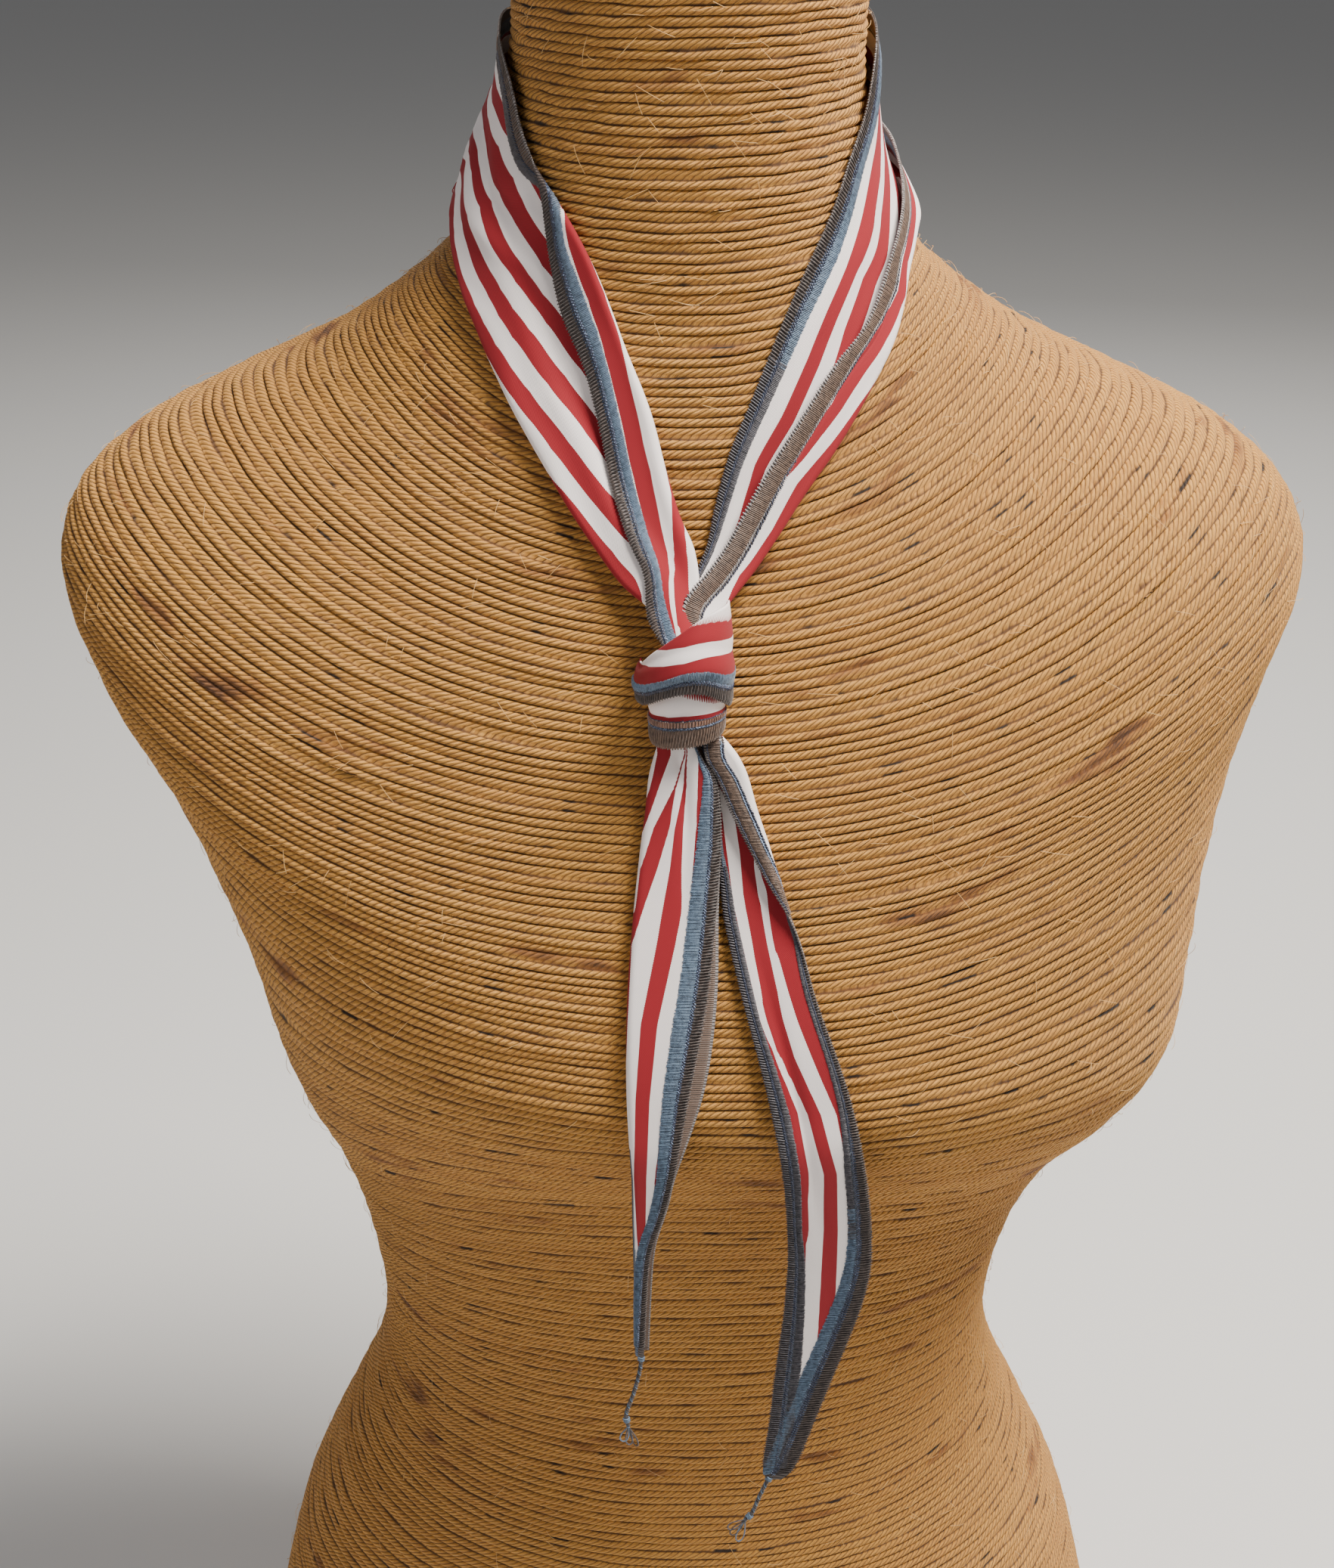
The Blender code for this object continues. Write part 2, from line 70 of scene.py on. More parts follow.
camera_data = bpy.data.cameras.new("camera")
camera_data.sensor_width = SENSOR
camera_data.lens = FOCAL_PIXELS / PHOTO_HEIGHT * SENSOR
camera_data.clip_start = 0.02
camera = bpy.data.objects.new("camera", camera_data)
camera.location = CAMERA_PLACE
camera.rotation_euler = (CAMERA_PITCH, 0, 0)
bpy.context.scene.collection.objects.link(camera)
bpy.context.scene.camera = camera

world = bpy.data.worlds.new("studio air")
world.use_nodes = True
world.node_tree.nodes["Background"].inputs["Color"].default_value = SKY_COLOUR
world.node_tree.nodes["Background"].inputs["Strength"].default_value = SKY_STRENGTH
bpy.context.scene.world = world


def add_soft_box(name, place, target, size, power, colour):
    """A square area light at place that faces target."""
    light = bpy.data.lights.new(name, "AREA")
    light.size = size
    light.energy = power
    light.color = colour
    lamp = bpy.data.objects.new(name, light)
    lamp.location = place
    lamp.rotation_euler = (Vector(target) - Vector(place)).to_track_quat("-Z", "Y").to_euler()
    bpy.context.scene.collection.objects.link(lamp)


add_soft_box("key", (0.68, -0.24, 1.90), (0, 0, 0.45), 0.70, 79, (1.0, 0.95, 0.88))
add_soft_box("fill", (-1.5, -1.2, 1.2), (0, 0, 0.4), 1.4, 7.5, (0.97, 0.97, 1.0))
add_soft_box("back", (0.3, 1.6, 1.5), (0, 0, 0.4), 1.6, 12, (1.0, 0.98, 0.95))


# The dress form. A foam body is wound from the neck to the hips with two-ply jute twine, each turn
# glued beside the last, and some glue has stained it brown. The rings give the body's outline, and
# each goes through a front, a side and a back point.
FORM_COLUMNS = ("front_z", "front_y", "side_z", "side_y", "side_x", "back_z", "back_y", "shift_x")
FORM_RINGS = (
    (680, -52, 680, 0, 50.5, 680, 50, 2),
    (655, -51, 655, 0, 50.0, 656, 50, 2),
    (625, -51, 627, 0, 50.5, 630, 52, 1),
    (597, -53, 601, 2, 55.0, 608, 57, 0),
    (566, -57, 581, 6, 65.0, 592, 66, 0),
    (535, -65, 565, 8, 82.0, 574, 76, 0),
    (506, -75, 549, 8, 106, 556, 84, 0),
    (481, -85, 536, 6, 136, 537, 91, 0),
    (458, -94, 522, 4, 165, 516, 96, 0),
    (438, -101, 506, 2, 184, 496, 99, 0),
    (418, -108, 486, 0, 190, 475, 100, 0),
    (400, -115, 462, -3, 182, 452, 99, 0),
    (384, -121, 433, -8, 169, 425, 97, 4),
    (368, -126, 401, -16, 158, 398, 94, 8),
    (352, -129, 368, -24, 150, 370, 91, 12),
    (336, -124, 338, -28, 145, 342, 88, 14),
    (320, -112, 311, -24, 136, 313, 85, 11),
    (300, -99, 284, -14, 123, 286, 82, 6),
    (258, -88, 250, -6, 113, 253, 79, 3),
    (203, -84, 207, 0, 108, 208, 75, 2),
    (160, -87, 172, 2, 114, 173, 79, 2),
    (124, -92, 138, 4, 129, 138, 89, 2),
    (88, -97, 98, 6, 146, 98, 101, 2),
    (46, -100, 50, 8, 158, 50, 111, 2),
    (14, -100, 14, 8, 161, 14, 113, 2),
    (0, -97, 0, 8, 158, 0, 110, 2),
)
FORM_ROUNDNESS = 2.25
TWINE_PITCH = 2.75
TWINE_PLY = 2.3
RIDGE_PHASES = np.array((0.0, 0.18, 0.5, 0.82))
RIDGE_HEIGHTS = np.array((-0.66, 0.0, 0.30, 0.0))
FORM_TURNS = 132
TOP_WINDINGS = 18
FORM_BANDS = ("form_neck", "form_bust", "form_hips")
WOBBLES = ((3, 0.24), (8, 0.18), (19, 0.13), (37, 0.07))
WOBBLE_LIFT = 0.6
FRONT_SAMPLES = 4001
MERGE = 0.00002

form_table = dict(zip(FORM_COLUMNS, np.array(FORM_RINGS, float).T))
form_last = len(FORM_RINGS) - 1


def smooth_column(values, position):
    """A column read at fractional rows, on a Catmull-Rom curve through its rows."""
    values = np.asarray(values, float)
    position = np.asarray(position, float)
    last = len(values) - 1
    row = np.clip(np.floor(position).astype(int), 0, last - 1)
    t = position - row
    p1, p2 = values[row], values[row + 1]
    p0 = np.where(row > 0, values[np.maximum(row - 1, 0)], 2 * p1 - p2)
    p3 = np.where(row + 2 <= last, values[np.minimum(row + 2, last)], 2 * p2 - p1)
    return 0.5 * (2 * p1 + (p2 - p0) * t + (2 * p0 - 5 * p1 + 4 * p2 - p3) * t**2
                  + (3 * p1 - p0 - 3 * p2 + p3) * t**3)


def form_points(position, turn):
    """Points of the form's surface, in millimetres: turn 0 is the front and goes to +X."""
    ring = {name: smooth_column(column, position) for name, column in form_table.items()}
    sine, cosine = np.sin(turn), np.cos(turn)
    deep = np.abs(cosine) ** (2 / FORM_ROUNDNESS)
    end_y = np.where(cosine > 0, ring["front_y"], ring["back_y"])
    end_z = np.where(cosine > 0, ring["front_z"], ring["back_z"])
    x = ring["shift_x"] + ring["side_x"] * np.sign(sine) * np.abs(sine) ** (2 / FORM_ROUNDNESS)
    y = ring["side_y"] + (end_y - ring["side_y"]) * deep
    z = ring["side_z"] + (end_z - ring["side_z"]) * cosine**2
    return np.stack(np.broadcast_arrays(x, y, z), -1)


def sheet_normals(places):
    """The unit normals of a grid of places, rows by columns."""
    normals = np.cross(np.gradient(places, axis=1), np.gradient(places, axis=0))
    return normals / np.maximum(np.linalg.norm(normals, axis=2, keepdims=True), 1e-9)


def sheet_mesh(name, places, maps, merge=False):
    """A grid shaped to places, rows by columns in millimetres, with a UV map for each of maps.

    A map is a function of the row and column of a face's corner and of the face's own cell.
    """
    rows, columns = places.shape[0] - 1, places.shape[1] - 1
    shape = bmesh.new()
    bmesh.ops.create_grid(shape, x_segments=columns, y_segments=rows, size=0.5)
    mesh = bpy.data.meshes.new(name)
    shape.to_mesh(mesh)
    shape.free()
    flat = np.empty(len(mesh.vertices) * 3)
    mesh.vertices.foreach_get("co", flat)
    column = np.rint((flat[0::3] + 0.5) * columns).astype(int)
    row = np.rint((flat[1::3] + 0.5) * rows).astype(int)
    mesh.vertices.foreach_set("co", (places[row, column] * MM).ravel())
    corner = np.empty(len(mesh.loops), int)
    mesh.loops.foreach_get("vertex_index", corner)
    corner_row, corner_column = row[corner], column[corner]
    cell_row = np.repeat(corner_row.reshape(-1, 4).min(1), 4)
    cell_column = np.repeat(corner_column.reshape(-1, 4).min(1), 4)
    for map_name, function in maps.items():
        layer = mesh.uv_layers.new(name=map_name)
        values = np.stack(function(corner_row, corner_column, cell_row, cell_column), -1)
        layer.data.foreach_set("uv", values.astype(np.float32).ravel())
    if merge:
        shape = bmesh.new()
        shape.from_mesh(mesh)
        bmesh.ops.remove_doubles(shape, verts=shape.verts, dist=MERGE)
        shape.to_mesh(mesh)
        shape.free()
    mesh.update()
    mesh.shade_smooth()
    return mesh


def add_piece(name, mesh, slot_name, *materials):
    """A finished piece of the object, which rides on its one body."""
    for material in materials:
        mesh.materials.append(material)
    piece = bpy.data.objects.new(name, mesh)
    bpy.context.scene.collection.objects.link(piece)
    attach(piece, "root")
    return piece


def tube_mesh(name, bunches, materials):
    """Closed round threads as one mesh; each of bunches has lines of points, a radius and a number."""
    curve = bpy.data.curves.new(name, "CURVE")
    curve.dimensions = "3D"
    curve.bevel_depth = MM
    curve.bevel_resolution = 0
    curve.use_fill_caps = True
    for material in materials:
        curve.materials.append(material)
    for lines, radius, number in bunches:
        for line in lines:
            spline = curve.splines.new("POLY")
            spline.points.add(len(line) - 1)
            spline.points.foreach_set("co", np.pad(line * MM, ((0, 0), (0, 1))).ravel())
            spline.points.foreach_set("radius", np.full(len(line), radius))
            spline.material_index = number
    maker = bpy.data.objects.new(name, curve)
    bpy.context.scene.collection.objects.link(maker)
    mesh = bpy.data.meshes.new_from_object(maker)
    bpy.data.objects.remove(maker)
    bpy.data.curves.remove(curve)
    mesh.name = name
    mesh.shade_smooth()
    return mesh


def add_node(tree, kind, sockets=None, **settings):
    """A shader node with its settings, and its sockets given a value or linked."""
    node = tree.nodes.new(kind)
    for name, value in settings.items():
        setattr(node, name, value)
    for name, value in (sockets or {}).items():
        if isinstance(value, bpy.types.NodeSocket):
            tree.links.new(value, node.inputs[name])
        else:
            node.inputs[name].default_value = value
    return node


def maths(tree, operation, *values):
    """The result of a Math node."""
    return add_node(tree, "ShaderNodeMath", dict(enumerate(values)), operation=operation).outputs[0]


def eased(tree, value, low, high):
    """0 below low, 1 above high and smooth between, whichever of them is the larger."""
    node = add_node(tree, "ShaderNodeMapRange", {"Value": value, "From Min": low, "From Max": high},
                    interpolation_type="SMOOTHSTEP")
    return node.outputs["Result"]


def mixed(tree, share, first, second):
    """A colour between two colours."""
    node = add_node(tree, "ShaderNodeMix", data_type="RGBA")
    for socket, value in zip((node.inputs[0], node.inputs[6], node.inputs[7]), (share, first, second)):
        if isinstance(value, bpy.types.NodeSocket):
            tree.links.new(value, socket)
        else:
            socket.default_value = value
    return node.outputs[2]


def noise_value(tree, vector, scale, detail=2.0, roughness=0.5):
    """The value of a Noise texture."""
    node = add_node(tree, "ShaderNodeTexNoise", {"Vector": vector, "Scale": scale, "Detail": detail,
                                                 "Roughness": roughness})
    return node.outputs["Fac"]


def joined_vector(tree, x, y, z=0.0):
    """A vector made of three values."""
    return add_node(tree, "ShaderNodeCombineXYZ", {"X": x, "Y": y, "Z": z}).outputs[0]


def twine_material():
    """Two-ply jute: slanted plies with fibres, painted shade in the grooves between plies and turns and
    in dark slits where turns part, and brown glue stains.
    """
    material = bpy.data.materials.new("jute twine")
    material.use_nodes = True
    tree = material.node_tree
    shader = tree.nodes["Principled BSDF"]
    uv = add_node(tree, "ShaderNodeUVMap", uv_map="twine").outputs[0]
    place = add_node(tree, "ShaderNodeTexCoord").outputs["Object"]
    split = add_node(tree, "ShaderNodeSeparateXYZ", {"Vector": uv})
    plies, windings = split.outputs["X"], split.outputs["Y"]
    winding = maths(tree, "FLOOR", windings)
    down = maths(tree, "FRACT", windings)
    tone = add_node(tree, "ShaderNodeTexWhiteNoise", {"W": winding}, noise_dimensions="1D")
    slack = noise_value(tree, joined_vector(tree, maths(tree, "MULTIPLY", plies, 0.11), winding), 1.0)
    ply = maths(tree, "ADD", plies, maths(tree, "MULTIPLY", down, 2.1))
    ply = maths(tree, "ADD", ply, maths(tree, "MULTIPLY", slack, 1.6))
    ply_share = maths(tree, "FRACT", ply)
    ply_bulge = maths(tree, "MULTIPLY", maths(tree, "MULTIPLY", ply_share,
                                              maths(tree, "SUBTRACT", 1.0, ply_share)), 4.0)
    turn_bulge = maths(tree, "MULTIPLY", maths(tree, "MULTIPLY", down,
                                               maths(tree, "SUBTRACT", 1.0, down)), 4.0)
    fibres = noise_value(tree, joined_vector(tree, maths(tree, "MULTIPLY", ply, 7.0),
                                             maths(tree, "MULTIPLY", windings, 2.2)), 1.0, 4.0, 0.65)
    cloudy = noise_value(tree, place, 14.0, 3.0)
    blotches = noise_value(tree, joined_vector(tree, maths(tree, "MULTIPLY", plies, 0.038),
                                               maths(tree, "MULTIPLY", windings, 0.17)), 1.0, 3.0, 0.6)
    packing = noise_value(tree, joined_vector(tree, maths(tree, "MULTIPLY", plies, 0.30),
                                              maths(tree, "MULTIPLY", windings, 0.9)), 1.0, 2.0)
    tightness = maths(tree, "MULTIPLY", maths(tree, "SUBTRACT", packing, 0.5), 1.1)
    slit_shade_noise = noise_value(tree, joined_vector(tree, maths(tree, "MULTIPLY", plies, 0.16),
                                            maths(tree, "MULTIPLY", winding, 3.7)), 1.0, 1.0)
    straw = mixed(tree, eased(tree, fibres, 0.25, 0.75), (0.41, 0.146, 0.019, 1),
                  (0.95, 0.498, 0.100, 1))
    straw = mixed(tree, maths(tree, "MULTIPLY", tone.outputs["Value"], 0.30), straw,
                  (0.47, 0.180, 0.023, 1))
    straw = mixed(tree, maths(tree, "MULTIPLY", eased(tree, cloudy, 0.40, 0.72), 0.35), straw,
                  (0.69, 0.330, 0.052, 1))
    # Painted shade: the colour darkens in the grooves between the plies and between the turns.
    ply_groove_shade = maths(tree, "MULTIPLY", eased(tree, ply_bulge, 0.0, 0.62), 0.72)
    ply_groove_shade = maths(tree, "ADD", ply_groove_shade, 0.28)
    groove_shade = maths(tree, "MULTIPLY", ply_groove_shade, eased(
        tree, maths(tree, "ADD", turn_bulge, tightness), -0.02, 0.52))
    colour = mixed(tree, groove_shade, (0.125, 0.048, 0.009, 1), straw)
    stain = maths(tree, "MULTIPLY", eased(tree, blotches, 0.60, 0.68), 0.75)
    colour = mixed(tree, stain, colour, (0.26, 0.085, 0.014, 1))
    stain_core = maths(tree, "MULTIPLY", eased(tree, blotches, 0.655, 0.72),
                       eased(tree, fibres, 0.3, 0.6))
    colour = mixed(tree, stain_core, colour, (0.075, 0.024, 0.006, 1))
    # Painted shade: near-black slits, placed by noise in the gaps between turns, stand for shadow where
    # the twine parts.
    slit_shade = maths(tree, "MULTIPLY", eased(tree, slit_shade_noise, 0.66, 0.72),
                 eased(tree, turn_bulge, 0.75, 0.35))
    colour = mixed(tree, slit_shade, colour, (0.020, 0.008, 0.002, 1))
    height = maths(tree, "ADD", maths(tree, "MULTIPLY", ply_bulge, 0.7),
                   maths(tree, "MULTIPLY", fibres, 0.55))
    bump = add_node(tree, "ShaderNodeBump", {"Height": height, "Strength": 1.0, "Distance": 0.0009})
    tree.links.new(colour, shader.inputs["Base Color"])
    tree.links.new(bump.outputs[0], shader.inputs["Normal"])
    shader.inputs["Roughness"].default_value = 0.82
    shader.inputs["Sheen Weight"].default_value = 0.06
    shader.inputs["Sheen Roughness"].default_value = 0.6
    return material


front_rows = np.linspace(0, form_last, FRONT_SAMPLES)
front_line = form_points(front_rows, 0.0)
front_way = np.concatenate(([0], np.cumsum(np.linalg.norm(np.diff(front_line, axis=0), axis=1))))
body_windings = round(front_way[-1] / TWINE_PITCH)
all_windings = TOP_WINDINGS + body_windings
row_windings = np.append(np.arange(all_windings)[:, None] + RIDGE_PHASES, all_windings)
row_heights = np.append(np.tile(RIDGE_HEIGHTS, all_windings), RIDGE_HEIGHTS[0])
on_body = np.maximum(row_windings - TOP_WINDINGS, 0) / body_windings
row_positions = np.interp(on_body * front_way[-1], front_way, front_rows)
row_shrink = np.clip(row_windings / TOP_WINDINGS, 0, 1)
turns = np.linspace(-math.pi, math.pi, FORM_TURNS + 1)

random = np.random.RandomState(7)
wobble = np.zeros((len(row_windings), FORM_TURNS + 1))
for waves, size in WOBBLES:
    phases = random.uniform(0, 2 * math.pi, all_windings + 1)
    phase = phases[np.floor(row_windings).astype(int)]
    wobble += size * np.sin(waves * turns + phase[:, None])
wobble *= ((row_windings > TOP_WINDINGS + 2) & (on_body < 0.99))[:, None]
rows_per_mm = np.gradient(front_rows, front_way)
wobble_rows = wobble * np.interp(row_positions, front_rows, rows_per_mm)[:, None]
skin = form_points(row_positions[:, None] + wobble_rows, turns[None, :])
neck_middle_point = np.array((FORM_RINGS[0][7], 0, FORM_RINGS[0][0]), float)
skin = neck_middle_point + (skin - neck_middle_point) * np.stack(
    (row_shrink, row_shrink, np.ones_like(row_shrink)), -1)[:, None, :]
skin_normals = -sheet_normals(skin)
skin_normals[0] = (0, 0, 1)
skin_out = skin + skin_normals * (row_heights[:, None] + WOBBLE_LIFT * wobble)[..., None]
skin_out[..., 2] = np.maximum(skin_out[..., 2], 0)
skin_out[:, -1] = skin_out[:, 0]
skin_out[0] = skin_out[0, 0]
steps_round = np.linalg.norm(np.diff(skin, axis=1), axis=2)
way_round = np.concatenate((np.zeros((len(skin), 1)), np.cumsum(steps_round, axis=1)), axis=1)
winding_plies = np.maximum(np.rint(way_round[::len(RIDGE_PHASES), -1] / TWINE_PLY), 3)
share_round = way_round / np.maximum(way_round[:, -1:], 1e-6)
share_round[0] = share_round[1]
twine = twine_material()

per_winding = len(RIDGE_PHASES)
band_ends = np.rint(np.linspace(0, all_windings, len(FORM_BANDS) + 1)).astype(int)
for band_name, first, last in zip(FORM_BANDS, band_ends, band_ends[1:]):
    start = first * per_winding
    rows = slice(start, last * per_winding + 1)

    def twine_map(row, column, cell_row, cell_column):
        plies = winding_plies[(start + cell_row) // per_winding]
        return share_round[start + row, FORM_TURNS - column] * plies, row_windings[start + row]

    band_places = skin_out[rows][:, ::-1]
    band = add_piece(band_name, sheet_mesh(band_name, band_places, {"twine": twine_map}, merge=True),
                     "twine", twine)
    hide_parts("dress_form")

# Stray jute fibres. They are loose ends of the twine's own fibres, a few millimetres long, that stand
# out of it all over the form, and none grows where the scarf lies on it.
FIBRE_COUNT = 2600
FIBRE_RADIUS = 0.07
FIBRE_POINTS = 6
FIBRE_LENGTHS = (3.0, 9.0)
FIBRE_RISES = (0.5, 2.2)
FIBRE_ROOT = 0.1
FIBRE_CLEAR = 9.5
FIBRE_CURL = 2.2
FIBRE_SPREAD = 0.7
BARE_ROWS_ABOVE = 8
BARE_ROWS_BELOW = 12

fibre_chance = np.random.RandomState(19)
fibre_rows = fibre_chance.randint(TOP_WINDINGS * per_winding + BARE_ROWS_ABOVE,
                                  len(skin) - BARE_ROWS_BELOW, FIBRE_COUNT)
fibre_turns = fibre_chance.randint(0, FORM_TURNS, FIBRE_COUNT)
scarf_trees = []
for node_name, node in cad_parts.items():
    if node_name != "dress_form":
        corners = [vertex.co for vertex in node.data.vertices]
        faces = [face.vertices for face in node.data.polygons]
        scarf_trees.append(BVHTree.FromPolygons(corners, faces))
bare = [min(tree.find_nearest(Vector(point) * MM)[3] for tree in scarf_trees) > FIBRE_CLEAR * MM
        for point in skin[fibre_rows, fibre_turns]]
fibre_rows, fibre_turns = fibre_rows[bare], fibre_turns[bare]
fibre_count = len(fibre_rows)
fibre_roots = skin[fibre_rows, fibre_turns]
fibre_ways = skin_normals[fibre_rows, fibre_turns]
fibre_round = np.cross(fibre_ways, (0.0, 0.0, 1.0))
fibre_round /= np.linalg.norm(fibre_round, axis=1, keepdims=True)
fibre_angles = fibre_chance.normal(0, FIBRE_SPREAD, fibre_count)
fibre_angles += math.pi * fibre_chance.randint(0, 2, fibre_count)
fibre_heads = (np.cos(fibre_angles)[:, None] * fibre_round
               + np.sin(fibre_angles)[:, None] * np.cross(fibre_ways, fibre_round))
fibre_go = np.linspace(0, 1, FIBRE_POINTS)[None, :, None]
fibre_reach = fibre_chance.uniform(*FIBRE_LENGTHS, fibre_count)[:, None, None]
fibre_rise = fibre_chance.uniform(*FIBRE_RISES, fibre_count)[:, None, None]
fibre_rise = FIBRE_ROOT + fibre_rise * np.sin(FIBRE_CURL * fibre_go)
fibre_lines = (fibre_roots[:, None] + fibre_ways[:, None] * fibre_rise
               + fibre_heads[:, None] * fibre_reach * fibre_go)
fibre_material = bpy.data.materials.new("jute fibre")
fibre_material.use_nodes = True
fibre_tree = fibre_material.node_tree
fibre_place = add_node(fibre_tree, "ShaderNodeTexCoord").outputs["Object"]
fibre_colour = mixed(fibre_tree, noise_value(fibre_tree, fibre_place, 120.0), (0.50, 0.24, 0.06, 1),
                     (0.90, 0.62, 0.28, 1))
fibre_tree.links.new(fibre_colour, fibre_tree.nodes["Principled BSDF"].inputs["Base Color"])
fibre_tree.nodes["Principled BSDF"].inputs["Roughness"].default_value = 0.7
add_piece("form_fibres", tube_mesh("form_fibres", [(fibre_lines, FIBRE_RADIUS, 0)], [fibre_material]),
          "twine")

# The form's flat base. It is a disc of board glued under the foam body, and the last turn of twine
# ends on its rim.
base_ring = form_points(form_last, turns[:-1])
base_shape = bmesh.new()
base_edge = [base_shape.verts.new(point * MM) for point in base_ring]
base_shape.faces.new(base_edge)
base_mesh = bpy.data.meshes.new("form_base")
base_shape.to_mesh(base_mesh)
base_shape.free()
base_mesh.flip_normals()
board = bpy.data.materials.new("base board")
board.use_nodes = True
board_tree = board.node_tree
board_place = add_node(board_tree, "ShaderNodeTexCoord").outputs["Object"]
board_colour = mixed(board_tree, noise_value(board_tree, board_place, 60.0, 4.0),
                     (0.30, 0.19, 0.09, 1), (0.42, 0.28, 0.15, 1))
board_tree.links.new(board_colour, board_tree.nodes["Principled BSDF"].inputs["Base Color"])
board_tree.nodes["Principled BSDF"].inputs["Roughness"].default_value = 0.9
add_piece("form_base", base_mesh, "twine", board)


# The cloth round the neck. It is a long strip of red and white cotton, yarn-dyed in 5 mm stripes
# along its length, its edges covered by wide overlock stitching. It is folded lengthwise: a layer
# below, a fold at the outer side, a layer above, and on the wearer's right a flap turned back.
CLOTH_THICK = 0.5
CLOTH_REST = 0.95
NECK_COLUMNS = ("angle", "height", "width", "under", "upper", "stand_in", "stand_out")
NECK_ROWS = (
    (-1.2, 481.0, 5.5, 0.60, 21, 9.5, 10.0),
    (1.6, 493.5, 14.0, 0.50, 33, 5.0, 5.0),
    (5.0, 502, 21.5, 0.45, 40.5, 2.3, 2.3),
    (9.1, 510, 24.0, 0.42, 43, 0.8, 0.9),
    (15.1, 523, 28.5, 0.38, 47.5, 0.2, 0.3),
    (21.4, 537, 33.0, 0.36, 51, 0.0, 0.0),
    (29.2, 551, 35.5, 0.36, 51.3, 0.0, 0.0),
    (36.9, 564, 38.3, 0.37, 55, 0.0, 0.0),
    (44.5, 575, 40.0, 0.38, 53.5, 0.2, 0.4),
    (53.0, 584.5, 41.0, 0.39, 48, 0.6, 1.2),
    (61.5, 592.5, 41.5, 0.40, 44, 1.0, 2.4),
    (70.0, 600.5, 45.5, 0.42, 47, 1.5, 3.4),
    (80.0, 608.5, 52.5, 0.44, 54, 2.0, 4.0),
    (95.0, 613, 55.0, 0.48, 56, 2.0, 4.0),
    (112.0, 616, 54.0, 0.54, 54, 2.0, 3.5),
    (135.0, 618, 54.0, 0.62, 50, 1.8, 3.0),
    (158.0, 620, 54.0, 0.72, 44, 1.6, 2.5),
    (180.0, 620, 54.0, 0.82, 38, 1.6, 2.5),
    (203.0, 620, 54.0, 0.90, 32, 1.6, 2.5),
    (227.0, 618, 54.0, 0.95, 26, 1.8, 3.0),
    (248.0, 616, 54.0, 0.97, 21, 2.0, 3.5),
    (266.0, 612, 52.0, 0.97, 18, 2.0, 4.0),
    (281.0, 602, 44.0, 0.97, 15, 1.5, 3.6),
    (293.0, 594, 38.0, 0.97, 13, 1.0, 2.6),
    (304.0, 583, 33.0, 0.97, 12, 0.5, 1.4),
    (310.3, 575, 33.0, 0.97, 12.5, 0.2, 0.6),
    (318.0, 564, 33.0, 0.97, 13.5, 0.0, 0.2),
    (325.4, 553, 31.0, 0.97, 16, 0.0, 0.0),
    (334.0, 539, 28.0, 0.96, 16, 0.0, 0.0),
    (341.0, 527, 24.5, 0.96, 15, 0.1, 0.1),
    (346.6, 514.5, 20.0, 0.95, 14, 0.4, 0.4),
    (350.0, 506, 16.0, 0.94, 13, 1.2, 1.2),
    (353.6, 499, 13.6, 0.93, 12.4, 2.9, 2.9),
    (357.3, 492, 12.6, 0.90, 12.6, 5.8, 5.8),
    (358.6, 485.5, 11.0, 0.90, 11, 8.6, 8.6),
)
NECK_STEPS = 8
NECK_BEND = 1.2
NECK_TURN = 1.0
SECTION_POINTS = (14, 8, 26, 8, 14)
OUTER_FOLD_ROOM = 6.0
INNER_FOLD_ROOM = 5.0
INNER_FOLD_SHARE = 0.6
RISE_LENGTH = 8.0
RISE_AHEAD = 5.5
FAR_OUT = 400.0
WALK_STEPS = 14
STRIPE_PAIR = 10.0
YARNS_PER_PAIR = 26
YARN_STEPS_PER_PAIR = 32
NO_EDGE = 9.0
FADE_COLUMNS = 3
LAYING_TURNS = 240
LAYING_RINGS = 261

# Where the stripes lie, by row of the neck table: how far in from the cloth's edge each line is where
# a red or a white stripe starts. The first line of each table starts a red one.
FLAP_LINES = (
    (0, 5.0, 6.3, 7.0, 11.4), (1, 5.4, 6.7, 7.6, 12.2), (1.5, 4.8, 6.9, 8.1, 12.8),
    (2, 4.6, 7.6, 9.1, 13.2), (2.5, 4.9, 8.7, 11.1, 14.6), (3, 5.4, 9.7, 13.1, 17.2),
    (3.5, 6.0, 10.7, 14.9, 19.3), (4, 6.4, 11.4, 15.8, 20.4), (4.5, 6.2, 11.0, 15.6, 20.2),
    (5, 6.3, 11.1, 15.8, 20.4), (5.5, 6.3, 11.1, 15.9, 20.6), (6, 6.5, 11.4, 16.3, 21.1),
    (6.5, 7.7, 12.5, 17.4, 22.2), (7, 8.5, 13.3, 18.1, 23.0), (8, 6.8, 11.7, 16.5, 21.4),
)
